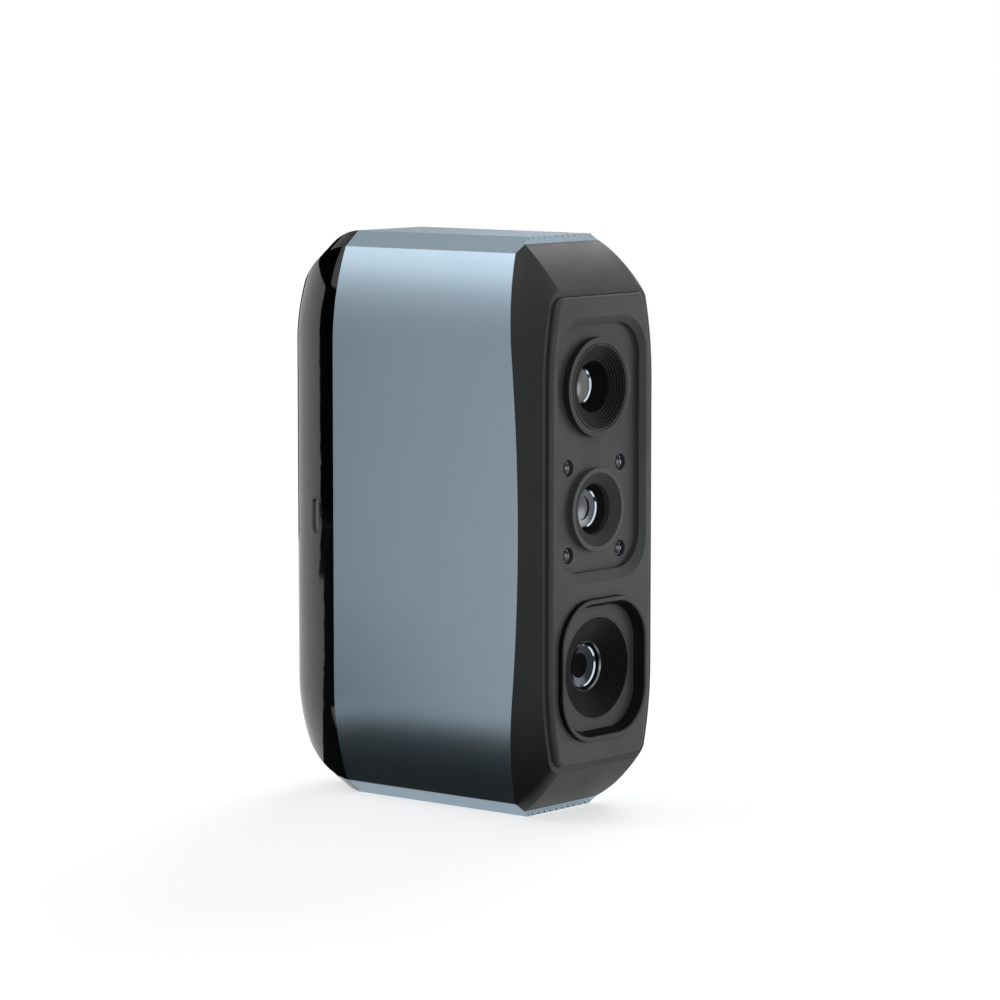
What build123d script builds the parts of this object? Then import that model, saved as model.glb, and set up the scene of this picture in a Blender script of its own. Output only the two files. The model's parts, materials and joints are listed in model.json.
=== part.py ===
from build123d import *

import os
from math import atan, cos, pi, sin

# Hand-held structured-light 3D scanner, standing on its lower end face.
# X runs across the thickness, the lenses look along -Y and Z points up. The origin is the mouth of
# the tripod socket, in the middle of the lower end face. All sizes are in millimetres.
# A size that ends in FRONT says how far a face lies ahead of the origin, towards the lenses, and one
# that ends in BACK how far it lies behind it. A DROP is measured from the nearer end face, and a
# SHARE is part of the full height, where no other comment says otherwise.

# Case: an extruded sleeve with a moulded cap in front and a rounded cover behind
HEIGHT = 120.0
CASE_WIDTH = 37.3
FLAT_DROP = 24.0
EDGE_SIDE_INSET = 4.3
EDGE_DROP = 3.2
END_SIDE_INSET = 8.4
WALL = 1.8
END_FACE_FRONT = 22.4
STRIP_LENGTH = 0.7
STRIP_DROP = 1.4
SEAM_EDGE_LENGTH = 0.1
SEAM_BOW = 4.1
COVER_SEAM_BACK = 23.5
COVER_LENGTH = 17.5

# Back cover, rounded from its seam to its flat back: how far it comes in at the ends and at the
# sides, with the power of the curve for each, and how far the edges of the end facets follow
COVER_END_DEPTH = 12.7
COVER_END_POWER = 1.6
COVER_SIDE_DEPTH = 8.7
COVER_SIDE_POWER = 1.4
COVER_EDGE_DROP_SHARE = 0.95
COVER_EDGE_SIDE_SHARE = 0.7
COVER_TOP_SIDE_SHARE = 0.8
COVER_STATIONS = 6

# Front cap, which narrows from the seam over a bend to a flat rim
CAP_LENGTH = 9.55
BEND_SHARE = 0.474
BEND_SIDE_INSET = 0.05
BEND_FLAT_DROP = 27.0
BEND_EDGE_SIDE_INSET = 2.95
BEND_EDGE_DROP = 7.1
BEND_TOP_SIDE_INSET = 5.65
BEND_DROP = 4.8
BEND_SAG = 0.15
RIM_SIDE_INSET = 0.55
RIM_FLAT_DROP = 30.0
RIM_EDGE_SIDE_INSET = 2.75
RIM_EDGE_DROP = 12.9
RIM_TOP_SIDE_INSET = 5.75
RIM_DROP = 10.4
RIM_SAG = 0.45
SHELF_THICKNESS = 1.7
SHELF_SIDE_MARGIN = 3.5
SHELF_END_MARGIN = 6.4
SHELF_OPENING_RADIUS = 3.0

# Perforated end plates, let into the sleeve
PLATE_THICKNESS = 0.8
PLATE_GAP = 0.1
PLATE_SETBACK = 1.5
VENT_RADIUS = 0.5
VENT_SIDES = 8
VENT_SIDE_MARGIN = 0.45
VENT_COLUMNS = 10
VENT_ROWS = 4
VENT_ROW_PITCH = 1.7
VENT_FIRST_ROW_SETBACK = 0.25
VENT_WINDOW_MARGIN = 0.3

# Lens panel, a raised plate with a sloped pocket round the cameras
PANEL_INSET = 1.5
PANEL_FIT = 0.1
PANEL_PROUD = 1.15
PANEL_THICKNESS = 3.8
PANEL_EDGE_RADIUS = 0.9
SEAL_THICKNESS = 0.3
POCKET_SIDE_MARGIN = 3.3
POCKET_BOTTOM_SHARE = 0.4083
POCKET_TOP_SHARE = 0.8642
POCKET_RADIUS = 8.0
POCKET_SIDE_SLOPE = 0.9
POCKET_BOTTOM_SLOPE = 2.2
POCKET_TOP_SLOPE = 1.5
POCKET_DEPTH = 2.1
POCKET_STEP = 0.95

# Camera lenses
UPPER_LENS_SHARE = 0.743
LOWER_LENS_SHARE = 0.5322
UPPER_BEZEL_RADIUS = 10.3
UPPER_BEZEL_PROUD = 1.5
UPPER_MOUTH_RADIUS = 8.6
UPPER_THROAT_RADIUS = 5.4
UPPER_CONE_DEPTH = 1.8
UPPER_CONE_STEPS = 6
UPPER_GROOVE_RADIUS = 9.1
GROOVE_WIDTH = 0.25
GROOVE_DEPTH = 0.3
UPPER_GLASS_RADIUS = 3.9
UPPER_GLASS_DEPTH = 2.6
LOWER_BEZEL_RADIUS = 8.6
LOWER_BEZEL_PROUD = 1.2
LOWER_MOUTH_RADIUS = 7.7
LOWER_THROAT_RADIUS = 5.3
LOWER_CONE_DEPTH = 1.3
LOWER_GLASS_RADIUS = 4.1
LOWER_GLASS_DEPTH = 1.3
BEZEL_SHOULDER = 0.5
BEZEL_SEAT_DEPTH = 1.5
BEZEL_TAIL = 1.2
BARREL_RADIUS = 6.0
BARREL_CLEARANCE = 0.3
BARREL_GAP = 0.15
BARREL_BORE_RADIUS = 3.4
BARREL_MOUTH_FLARE = 1.1
GLASS_THICKNESS = 1.4
GLASS_CROWN = 0.55
GLASS_HOLLOW = 0.5
FIT = 0.05

# Lighting diodes round the lower lens
LED_COLUMN_OFFSET = 8.64
LED_ROW_OFFSET = 9.0
LED_MIDDLE_RISE = 0.13
LED_WINDOW_RADIUS = 1.75
LED_RADIUS = 1.45
LED_RECESS = 0.55
LED_FLANGE_RADIUS = 1.8
LED_FLANGE_THICKNESS = 0.8
LED_BOARD_WIDTH = 21.2
LED_BOARD_MARGIN = 2.1
LED_BOARD_GAP = 3.6
LED_BOARD_BOSS_SHARE = 0.443
LED_BOARD_BOSS_RADIUS = 1.9
LED_BOARD_HOLE_RADIUS = 6.8

# Projector: a hood, a stepped baffle and a lens in front of the light engine
PROJECTOR_SHARE = 0.2583
HOOD_WIDTH = 28.5
HOOD_HEIGHT = 29.5
HOOD_RADIUS = 10.0
HOOD_PROUD = 1.15
HOOD_LIP = 0.95
HOOD_SLOPE = 1.05
HOOD_CHAMFER = 0.3
HOOD_DEPTH = 2.5
HOOD_FLOOR = 1.2
BAFFLE_RADIUS = 10.9
BAFFLE_LIP = 0.4
BAFFLE_DEPTH = 2.9
BAFFLE_STEPS = 12
BAFFLE_THROAT_RADIUS = 5.25
BAFFLE_FLANGE_RADIUS = 12.3
BAFFLE_FLANGE_THICKNESS = 1.0
BAFFLE_WALL = 1.4
PROJECTOR_BARREL_RADIUS = 6.6
PROJECTOR_RIM_WIDTH = 0.3
PROJECTOR_RIM_THICKNESS = 1.2
PROJECTOR_GLASS_RADIUS = 4.5
ENGINE_SIZE = 24.0
ENGINE_WALL = 2.8
ENGINE_DEPTH = 8.0
ENGINE_TUBE_RADIUS = 8.2
ENGINE_TUBE_LENGTH = 5.0

# Optical bench and the boards on it
BENCH_SETBACK = 20.65
BENCH_THICKNESS = 2.0
BENCH_SIDE_GAP = 4.15
BENCH_DROP = 10.0
BENCH_CORNER = 2.5
BOSS_INSET = 2.5
BOSS_RADIUS = 2.6
SCREW_RADIUS = 1.2
SCREW_HEAD_RADIUS = 2.3
SCREW_HEAD_THICKNESS = 1.6
SCREW_LENGTH = 9.0
SMALL_SCREW_RADIUS = 0.8
SMALL_SCREW_HEAD_RADIUS = 1.6
SMALL_SCREW_HEAD_THICKNESS = 1.1
HEXAGON_SIDES = 6
BOARD_THICKNESS = 1.2
STANDOFF_LENGTH = 2.5
STANDOFF_RADIUS = 1.9
CAMERA_BOARD_GAP = 1.3
CAMERA_SCREW_INSET = 2.2
HOLDER_SIZE = 15.0
HOLDER_BASE_HEIGHT = 3.0
HOLDER_WALL = 1.5
HOLDER_TUBE_WALL = 1.0
HOLDER_TUBE_LENGTH = 6.3
SENSOR_SIZE = 9.0
SENSOR_THICKNESS = 1.0
LIGHT_BOARD_GAP = 0.4
EMITTER_SIZE = 5.0
EMITTER_THICKNESS = 1.2
SINK_BASE = 2.0
SINK_DEPTH = 14.0
SINK_FINS = 7
SINK_FIN_THICKNESS = 1.2
MAIN_BOARD_SETBACK = 9.5
MAIN_BOARD_SIDE_GAP = 4.25
MAIN_BOARD_BOTTOM_SHARE = 0.3833
MAIN_BOARD_TOP_SHARE = 0.8833
POST_SIDE_INSET = 2.4
POST_INSET = 4.0
POST_RADIUS = 2.1
SHIELD_SIZE = 22.0
SHIELD_THICKNESS = 2.6
SHIELD_WALL = 0.4
CONNECTOR_LENGTH = 9.0
CONNECTOR_WIDTH = 4.0
CONNECTOR_THICKNESS = 2.0
CONNECTOR_SPACING = 5.5

# Spigots that carry the cap and the cover in the sleeve
SPIGOT_FIT = 0.1
SPIGOT_THICKNESS = 1.2
SPIGOT_LENGTH = 3.5
SPIGOT_ROOT = 2.0
SPIGOT_SHARE = 0.583

# Press key in the side of the back cover, and its switch
KEY_SETBACK = 6.5
KEY_SHARE = 0.497
KEY_LENGTH = 7.6
KEY_WIDTH = 3.0
KEY_GAP = 0.12
KEY_SUNK = 0.04
KEY_TRAVEL = 0.4
KEY_DISH_DEPTH = 0.35
KEY_DISH_RIM = 0.2
KEY_DISH_SLOPE = 35.0
KEY_FLANGE_LENGTH = 10.0
KEY_FLANGE_WIDTH = 4.8
KEY_FLANGE_THICKNESS = 0.8
KEY_FLANGE_GAP = 0.7
KEY_STEM_RADIUS = 0.9
KEY_STEM_LENGTH = 0.8
SWITCH_SIZE = 4.5
SWITCH_THICKNESS = 1.8
PLUNGER_RADIUS = 0.9
PLUNGER_LENGTH = 1.4
PLUNGER_PROUD = 0.8
KEY_BOARD_LENGTH = 22.0
KEY_BOARD_WIDTH = 7.0
KEY_BOARD_THICKNESS = 1.0
KEY_BOSS_SPACING = 17.0
KEY_BOSS_RADIUS = 2.2
KEY_SCREW_GRIP = 2.5

# USB-C socket in the back of the cover
PORT_SHARE = 0.1883
PORT_WIDTH = 8.94
PORT_THICKNESS = 3.2
PORT_LENGTH = 7.3
PORT_WALL = 0.3
PORT_RECESS = 0.2
PORT_GAP = 0.18
PORT_TONGUE_WIDTH = 6.7
PORT_TONGUE_THICKNESS = 0.7
PORT_TONGUE_LENGTH = 4.5
PORT_FLOOR = 0.8
PORT_BOARD_WIDTH = 13.0
PORT_BOARD_LENGTH = 10.5
PORT_SHELF_THICKNESS = 1.6

# Tripod insert in the lower end
TRIPOD_RADIUS = 3.175
TRIPOD_DEPTH = 7.0
INSERT_RADIUS = 4.6
INSERT_FLANGE_RADIUS = 6.6
INSERT_FLANGE_THICKNESS = 1.6
INSERT_TOP = 8.2

# Widths of the case and what they carry
EDGE_WIDTH = CASE_WIDTH - 2 * EDGE_SIDE_INSET
END_WIDTH = CASE_WIDTH - 2 * END_SIDE_INSET
BEND_WIDTH = CASE_WIDTH - 2 * BEND_SIDE_INSET
BEND_EDGE_WIDTH = CASE_WIDTH - 2 * BEND_EDGE_SIDE_INSET
BEND_TOP_WIDTH = CASE_WIDTH - 2 * BEND_TOP_SIDE_INSET
RIM_WIDTH = CASE_WIDTH - 2 * RIM_SIDE_INSET
RIM_EDGE_WIDTH = CASE_WIDTH - 2 * RIM_EDGE_SIDE_INSET
RIM_TOP_WIDTH = CASE_WIDTH - 2 * RIM_TOP_SIDE_INSET
SHELF_OPENING_WIDTH = RIM_WIDTH - 2 * SHELF_SIDE_MARGIN
POCKET_WIDTH = RIM_WIDTH - 2 * POCKET_SIDE_MARGIN
VENT_PITCH = (END_WIDTH - 2 * VENT_SIDE_MARGIN) / VENT_COLUMNS
BENCH_WIDTH = CASE_WIDTH - 2 * BENCH_SIDE_GAP
BOSS_OFFSET = BENCH_WIDTH / 2 - BOSS_INSET
MAIN_BOARD_WIDTH = CASE_WIDTH - 2 * MAIN_BOARD_SIDE_GAP
POST_OFFSET = MAIN_BOARD_WIDTH / 2 - POST_SIDE_INSET

# Heights of the optics and the boards
UPPER_LENS_HEIGHT = UPPER_LENS_SHARE * HEIGHT
LOWER_LENS_HEIGHT = LOWER_LENS_SHARE * HEIGHT
LENS_SPACING = UPPER_LENS_HEIGHT - LOWER_LENS_HEIGHT
LED_MIDDLE_HEIGHT = LOWER_LENS_HEIGHT + LED_MIDDLE_RISE
LED_BOARD_BOSS_OFFSET = LED_BOARD_BOSS_SHARE * LENS_SPACING
LED_BOARD_HEIGHT = 2 * (LED_BOARD_BOSS_OFFSET + LED_BOARD_MARGIN)
CAMERA_BOARD_SIZE = LENS_SPACING - CAMERA_BOARD_GAP
CAMERA_SCREW_OFFSET = CAMERA_BOARD_SIZE / 2 - CAMERA_SCREW_INSET
PROJECTOR_HEIGHT = PROJECTOR_SHARE * HEIGHT
POCKET_BOTTOM = POCKET_BOTTOM_SHARE * HEIGHT
POCKET_TOP = POCKET_TOP_SHARE * HEIGHT
SHELF_OPENING_DROP = RIM_DROP + SHELF_END_MARGIN
BOSS_DROP = BENCH_DROP + BOSS_INSET
MAIN_BOARD_BOTTOM = MAIN_BOARD_BOTTOM_SHARE * HEIGHT
MAIN_BOARD_TOP = MAIN_BOARD_TOP_SHARE * HEIGHT
SPIGOT_HEIGHT = SPIGOT_SHARE * HEIGHT
KEY_HEIGHT_ABOVE_FOOT = KEY_SHARE * HEIGHT
PORT_HEIGHT = PORT_SHARE * HEIGHT

# Places from front to back
STRIP_FRONT = END_FACE_FRONT + STRIP_LENGTH
SEAM_EDGE_FRONT = END_FACE_FRONT + SEAM_EDGE_LENGTH
SEAM_MIDDLE_FRONT = SEAM_EDGE_FRONT + SEAM_BOW
RIM_FRONT = STRIP_FRONT + CAP_LENGTH
BEND_FRONT = STRIP_FRONT + BEND_SHARE * CAP_LENGTH
VENT_FIRST_ROW_FRONT = END_FACE_FRONT - VENT_FIRST_ROW_SETBACK
BENCH_FRONT = RIM_FRONT - BENCH_SETBACK
CASE_BACK = COVER_SEAM_BACK + COVER_LENGTH
PLATE_BACK = COVER_SEAM_BACK - PLATE_SETBACK
MAIN_BOARD_BACK = COVER_SEAM_BACK - MAIN_BOARD_SETBACK
KEY_BACK = COVER_SEAM_BACK + KEY_SETBACK
PANEL_FRONT = RIM_FRONT + PANEL_PROUD
PANEL_BACK_FRONT = PANEL_FRONT - PANEL_THICKNESS
POCKET_FRONT = PANEL_FRONT - POCKET_DEPTH
SHELF_FRONT = PANEL_BACK_FRONT - SEAL_THICKNESS
SHELF_BACK_FRONT = SHELF_FRONT - SHELF_THICKNESS
BEZEL_BACK_FRONT = PANEL_BACK_FRONT - BEZEL_TAIL
HOOD_FRONT = PANEL_FRONT + HOOD_PROUD
HOOD_FLOOR_FRONT = HOOD_FRONT - HOOD_DEPTH
HOOD_BACK_FRONT = HOOD_FLOOR_FRONT - HOOD_FLOOR
BAFFLE_THROAT_FRONT = HOOD_FLOOR_FRONT - BAFFLE_DEPTH
BAFFLE_BACK_FRONT = BAFFLE_THROAT_FRONT - PROJECTOR_RIM_THICKNESS
BENCH_BACK_FRONT = BENCH_FRONT - BENCH_THICKNESS
CAMERA_BOARD_FRONT = BENCH_FRONT + STANDOFF_LENGTH + BOARD_THICKNESS
HOLDER_TOP_FRONT = CAMERA_BOARD_FRONT + HOLDER_BASE_HEIGHT
BARREL_SEAT_FRONT = BEZEL_BACK_FRONT + BEZEL_SEAT_DEPTH
LED_BOARD_FRONT = PANEL_BACK_FRONT - LED_BOARD_GAP
ENGINE_FRONT = BENCH_FRONT + ENGINE_DEPTH
LIGHT_BOARD_SIZE = ENGINE_SIZE - 2 * (ENGINE_WALL + LIGHT_BOARD_GAP)
KEY_FLANGE_DEPTH = WALL + KEY_FLANGE_GAP
KEY_STEM_DEPTH = KEY_FLANGE_DEPTH + KEY_FLANGE_THICKNESS + KEY_STEM_LENGTH
KEY_BOARD_DEPTH = KEY_STEM_DEPTH + PLUNGER_PROUD + SWITCH_THICKNESS
KEY_SCREW_LENGTH = KEY_BOARD_THICKNESS + KEY_SCREW_GRIP
FAR = 2 * HEIGHT


def front_plane(front, height=HEIGHT / 2):
    """A plane that faces the front, with X to the right and Z up, centred at the given height."""
    return Plane((0, -front, height), x_dir=(1, 0, 0), z_dir=(0, -1, 0))


def back_plane(back, height=HEIGHT / 2):
    """A plane that faces the back, with Z up, centred at the given height."""
    return Plane((0, back, height), x_dir=(-1, 0, 0), z_dir=(0, 1, 0))


def key_plane(depth):
    """A plane square to the cover's side at the key, this deep under it, with its x along Z."""
    run = KEY_BACK - COVER_SEAM_BACK
    side = drawn_in(run, COVER_SIDE_DEPTH, COVER_SIDE_POWER)
    nearby = drawn_in(run + FIT, COVER_SIDE_DEPTH, COVER_SIDE_POWER)
    turn = atan((nearby - side) / FIT)
    surface = Plane(
        (side - CASE_WIDTH / 2, KEY_BACK, KEY_HEIGHT_ABOVE_FOOT),
        x_dir=(0, 0, 1),
        z_dir=(-cos(turn), sin(turn), 0),
    )
    return surface.offset(-depth)


def lens_plane(height):
    """The plane of a lens profile: local x is the distance ahead of the origin, y the radius."""
    return Plane((0, 0, height), x_dir=(0, -1, 0), z_dir=(-1, 0, 0))


def lens_axis(height):
    """The axis of a lens at the given height, pointing to the front."""
    return Axis((0, 0, height), (0, -1, 0))


def case_outline(width, flat_drop, edge_width, edge_drop, top_width, top_drop, sag, inset):
    """The outline of the case from the front: straight sides that curve in to a faceted end."""
    half = HEIGHT / 2
    corner = (top_width / 2, half - top_drop)
    edge = (edge_width / 2, half - edge_drop)
    flat = (width / 2, half - flat_drop)
    with BuildSketch() as outline:
        with BuildLine():
            Line((0, corner[1]), corner)
            if sag:
                SagittaArc(corner, edge, sag)
            else:
                Line(corner, edge)
            TangentArc(flat, edge, tangent=(0, 1))
            Line(flat, (width / 2, 0))
            mirror(about=Plane.YZ)
            mirror(about=Plane.XZ)
        make_face()
        if inset:
            offset(amount=-inset, kind=Kind.INTERSECTION)
    return outline.sketch


def sleeve_outline(inset=0.0):
    """The full outline of the sleeve from the front."""
    return case_outline(CASE_WIDTH, FLAT_DROP, EDGE_WIDTH, EDGE_DROP, END_WIDTH, 0, 0, inset)


def seam_outline(inset=0.0):
    """The outline where the sleeve ends in front, cut off at the foot of its end strip."""
    facet = (EDGE_WIDTH - END_WIDTH) / EDGE_DROP
    top_width = END_WIDTH + facet * STRIP_DROP
    return case_outline(
        CASE_WIDTH, FLAT_DROP, EDGE_WIDTH, EDGE_DROP, top_width, STRIP_DROP, 0, inset
    )


def bend_outline(inset=0.0):
    """The outline of the cap half way to the rim."""
    return case_outline(
        BEND_WIDTH,
        BEND_FLAT_DROP,
        BEND_EDGE_WIDTH,
        BEND_EDGE_DROP,
        BEND_TOP_WIDTH,
        BEND_DROP,
        BEND_SAG,
        inset,
    )


def rim_outline(inset=0.0):
    """The outline of the cap's flat rim."""
    return case_outline(
        RIM_WIDTH, RIM_FLAT_DROP, RIM_EDGE_WIDTH, RIM_EDGE_DROP, RIM_TOP_WIDTH, RIM_DROP, RIM_SAG, inset
    )


def body_form(inset=0.0):
    """The form of the sleeve, or the space inside a wall as thick as the inset."""
    with BuildPart() as form:
        with BuildSketch(front_plane(STRIP_FRONT)):
            add(sleeve_outline(inset))
        extrude(amount=-(STRIP_FRONT + COVER_SEAM_BACK))
        with BuildSketch(Plane.YZ):
            with BuildLine():
                Polyline(
                    (-STRIP_FRONT, STRIP_DROP + inset),
                    (-END_FACE_FRONT, inset),
                    (COVER_SEAM_BACK, inset),
                    (COVER_SEAM_BACK, HEIGHT - inset),
                    (-END_FACE_FRONT, HEIGHT - inset),
                    (-STRIP_FRONT, HEIGHT - STRIP_DROP - inset),
                    close=True,
                )
            make_face()
        extrude(amount=CASE_WIDTH, both=True, mode=Mode.INTERSECT)
    return form.part


def drawn_in(run, depth, power):
    """How far the back cover has come in, a given run behind its seam."""
    share = run / COVER_LENGTH
    return depth * (1 - (1 - share**power) ** (1 / power))


def cover_outline(run, inset=0.0):
    """The outline of the back cover, a given run behind its seam."""
    end = drawn_in(run, COVER_END_DEPTH, COVER_END_POWER)
    side = drawn_in(run, COVER_SIDE_DEPTH, COVER_SIDE_POWER)
    return case_outline(
        CASE_WIDTH - 2 * side,
        FLAT_DROP,
        EDGE_WIDTH - 2 * COVER_EDGE_SIDE_SHARE * side,
        EDGE_DROP + COVER_EDGE_DROP_SHARE * end,
        END_WIDTH - 2 * COVER_TOP_SIDE_SHARE * side,
        end,
        0,
        inset,
    )


def cover_form(inset=0.0):
    """The rounded form of the back cover, or the space inside a wall as thick as the inset."""
    shortened = (COVER_LENGTH - inset) / COVER_LENGTH
    with BuildPart() as form:
        for station in range(COVER_STATIONS):
            turn = station * pi / 2 / (COVER_STATIONS - 1)
            run = COVER_LENGTH * sin(turn) ** (2 / COVER_END_POWER)
            with BuildSketch(back_plane(COVER_SEAM_BACK + run * shortened)):
                add(cover_outline(run, inset))
        loft()
    return form.part


def cap_form(inset=0.0):
    """The tapered form in front of the sleeve, or the space inside a wall as thick as the inset."""
    with BuildPart() as form:
        with BuildSketch(front_plane(STRIP_FRONT)):
            add(seam_outline(inset))
        with BuildSketch(front_plane(BEND_FRONT)):
            add(bend_outline(inset))
        with BuildSketch(front_plane(RIM_FRONT)):
            add(rim_outline(inset))
        loft()
    return form.part


def front_of_seam():
    """Everything ahead of the curved seam between the sleeve and the front cap."""
    low, high = EDGE_DROP, HEIGHT - EDGE_DROP
    with BuildPart() as region:
        with BuildSketch(Plane.YZ):
            with BuildLine():
                ThreePointArc(
                    (-SEAM_EDGE_FRONT, low), (-SEAM_MIDDLE_FRONT, HEIGHT / 2), (-SEAM_EDGE_FRONT, high)
                )
                Polyline(
                    (-SEAM_EDGE_FRONT, high),
                    (-STRIP_FRONT, HEIGHT - STRIP_DROP),
                    (-BEND_FRONT, FAR),
                    (-FAR, FAR),
                    (-FAR, -FAR),
                    (-BEND_FRONT, -FAR),
                    (-STRIP_FRONT, STRIP_DROP),
                    (-SEAM_EDGE_FRONT, low),
                )
            make_face()
        extrude(amount=FAR, both=True)
    return region.part


def stepped_cone(front, mouth, back, throat, steps):
    """Profile points of a light baffle, from its mouth to its throat in equal steps."""
    depth = (front - back) / steps
    rise = (mouth - throat) / steps
    points = [(front, mouth)]
    for step in range(1, steps + 1):
        points.append((front - step * depth, mouth - (step - 1) * rise))
        points.append((front - step * depth, mouth - step * rise))
    return points


def turned(height, points):
    """A turned piece on the lens axis at the given height, from a closed profile."""
    with BuildPart() as piece:
        with BuildSketch(lens_plane(height)):
            with BuildLine():
                Polyline(*points, close=True)
            make_face()
        revolve(axis=lens_axis(height))
    return piece.part


def screws(places, plane, radius, head_radius, head_thickness, length):
    """A group of equal hexagon screws whose heads sit on the plane and point along its normal."""
    with BuildPart() as group:
        with BuildSketch(plane):
            with Locations(*places):
                RegularPolygon(head_radius, HEXAGON_SIDES)
        extrude(amount=head_thickness)
        with BuildSketch(plane):
            with Locations(*places):
                Circle(radius)
        extrude(amount=-length)
    return group.part


def vent_places():
    """Places of the vent holes on an end plate: staggered rows behind its front edge."""
    places = []
    for row in range(VENT_ROWS):
        columns = VENT_COLUMNS - row % 2
        for column in range(columns):
            across = (column - (columns - 1) / 2) * VENT_PITCH
            places.append((across, -VENT_FIRST_ROW_FRONT + row * VENT_ROW_PITCH))
    return places


def end_recess():
    """What is milled out of the sleeve's lower end: the seat of the plate and the vent window."""
    last_row = (VENT_ROWS - 1) * VENT_ROW_PITCH - VENT_FIRST_ROW_FRONT
    window_back = last_row + VENT_RADIUS + VENT_WINDOW_MARGIN
    with BuildPart() as recess:
        with BuildSketch(Plane.XY):
            with Locations((0, (PLATE_BACK - STRIP_FRONT) / 2)):
                Rectangle(END_WIDTH, PLATE_BACK + STRIP_FRONT)
        extrude(amount=PLATE_THICKNESS)
        with BuildSketch(Plane.XY):
            with Locations((0, (window_back - END_FACE_FRONT) / 2)):
                Rectangle(VENT_COLUMNS * VENT_PITCH, window_back + END_FACE_FRONT)
        extrude(amount=2 * WALL)
    return recess.part


def sleeve_piece(outer, inner):
    """The extruded sleeve, with a seat for each end plate and a hole for the tripod insert."""
    with BuildPart() as sleeve:
        add(outer)
        add(front_of_seam(), mode=Mode.SUBTRACT)
        add(inner, mode=Mode.SUBTRACT)
        with BuildSketch(front_plane(STRIP_FRONT)):
            add(sleeve_outline(WALL))
        extrude(amount=BEND_FRONT - STRIP_FRONT, mode=Mode.SUBTRACT)
        recess = end_recess()
        add(recess, mode=Mode.SUBTRACT)
        mirror(recess, about=Plane.XY.offset(HEIGHT / 2), mode=Mode.SUBTRACT)
        with BuildSketch(Plane.XY):
            Circle(INSERT_RADIUS + FIT)
        extrude(amount=2 * WALL, mode=Mode.SUBTRACT)
    return sleeve.part


def end_plates(outer):
    """The two perforated end plates; the lower one also lets the tripod insert through."""
    with BuildPart() as blank:
        with BuildSketch(Plane.XY):
            with Locations((0, (PLATE_BACK - STRIP_FRONT - PLATE_GAP) / 2)):
                Rectangle(END_WIDTH - 2 * PLATE_GAP, PLATE_BACK + STRIP_FRONT - PLATE_GAP)
        extrude(amount=PLATE_THICKNESS)
        add(outer, mode=Mode.INTERSECT)
        with BuildSketch(Plane.XY):
            with Locations(*vent_places()):
                RegularPolygon(VENT_RADIUS, VENT_SIDES)
        extrude(amount=PLATE_THICKNESS, mode=Mode.SUBTRACT)
    with BuildPart() as bottom:
        add(blank.part)
        with BuildSketch(Plane.XY):
            Circle(INSERT_RADIUS + PLATE_GAP)
        extrude(amount=PLATE_THICKNESS, mode=Mode.SUBTRACT)
    with BuildPart() as top:
        mirror(blank.part, about=Plane.XY.offset(HEIGHT / 2))
    return {"bottom_vent_plate": bottom.part, "top_vent_plate": top.part}


def four_places(across, up):
    """The four corners of a rectangle, from half its width and half its height."""
    return [(x, y) for x in (-across, across) for y in (-up, up)]


def inside_ring(outer_inset, inner_inset, front, length):
    """A ring that follows the sleeve's outline between two insets, from a face backwards."""
    with BuildPart() as ring:
        with BuildSketch(front_plane(front)):
            add(sleeve_outline(outer_inset))
        extrude(amount=-length)
        with BuildSketch(front_plane(front)):
            add(sleeve_outline(inner_inset))
        extrude(amount=-length, mode=Mode.SUBTRACT)
    return ring.part


def cap_spigot():
    """Two tongues on the cap that slide into the sleeve, with roots that stop at the seam."""
    inner = WALL + SPIGOT_FIT + SPIGOT_THICKNESS
    tip_front = SEAM_MIDDLE_FRONT - SPIGOT_ROOT - SPIGOT_LENGTH
    with BuildPart() as spigot:
        add(inside_ring(WALL / 2, inner, SHELF_BACK_FRONT, SHELF_BACK_FRONT - tip_front))
        add(front_of_seam(), mode=Mode.INTERSECT)
        add(inside_ring(WALL + SPIGOT_FIT, inner, SHELF_BACK_FRONT, SHELF_BACK_FRONT - tip_front))
        with BuildSketch(front_plane(0)):
            Rectangle(FAR, SPIGOT_HEIGHT)
        extrude(amount=FAR, mode=Mode.INTERSECT)
    return spigot.part


def front_cap(outer):
    """The moulded cap: a tapered shell with a rim, a shelf for the lens panel and screw bosses."""
    places = four_places(BOSS_OFFSET, HEIGHT / 2 - BOSS_DROP)
    spigot = cap_spigot()
    with BuildPart() as cavity:
        add(cap_form(WALL))
        split(bisect_by=front_plane(SHELF_BACK_FRONT), keep=Keep.BOTTOM)
        with BuildSketch(front_plane(STRIP_FRONT)):
            add(seam_outline(WALL))
        extrude(amount=END_FACE_FRONT - 2 * STRIP_FRONT)
    with BuildPart() as cap:
        add(outer)
        add(front_of_seam(), mode=Mode.INTERSECT)
        add(cavity.part, mode=Mode.SUBTRACT)
        with BuildSketch(front_plane(SHELF_FRONT)):
            add(rim_outline(PANEL_INSET - PANEL_FIT))
        extrude(amount=RIM_FRONT - SHELF_FRONT, mode=Mode.SUBTRACT)
        with BuildSketch(front_plane(SHELF_BACK_FRONT)):
            RectangleRounded(
                SHELF_OPENING_WIDTH, HEIGHT - 2 * SHELF_OPENING_DROP, SHELF_OPENING_RADIUS
            )
        extrude(amount=SHELF_THICKNESS, mode=Mode.SUBTRACT)
        add(spigot)
        with BuildSketch(front_plane(BENCH_FRONT)):
            with Locations(*places):
                Circle(BOSS_RADIUS)
        extrude(amount=SHELF_BACK_FRONT - BENCH_FRONT)
        with BuildSketch(front_plane(BENCH_FRONT)):
            with Locations(*places):
                Circle(SCREW_RADIUS + FIT)
        extrude(amount=SCREW_LENGTH, mode=Mode.SUBTRACT)
    return cap.part


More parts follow.
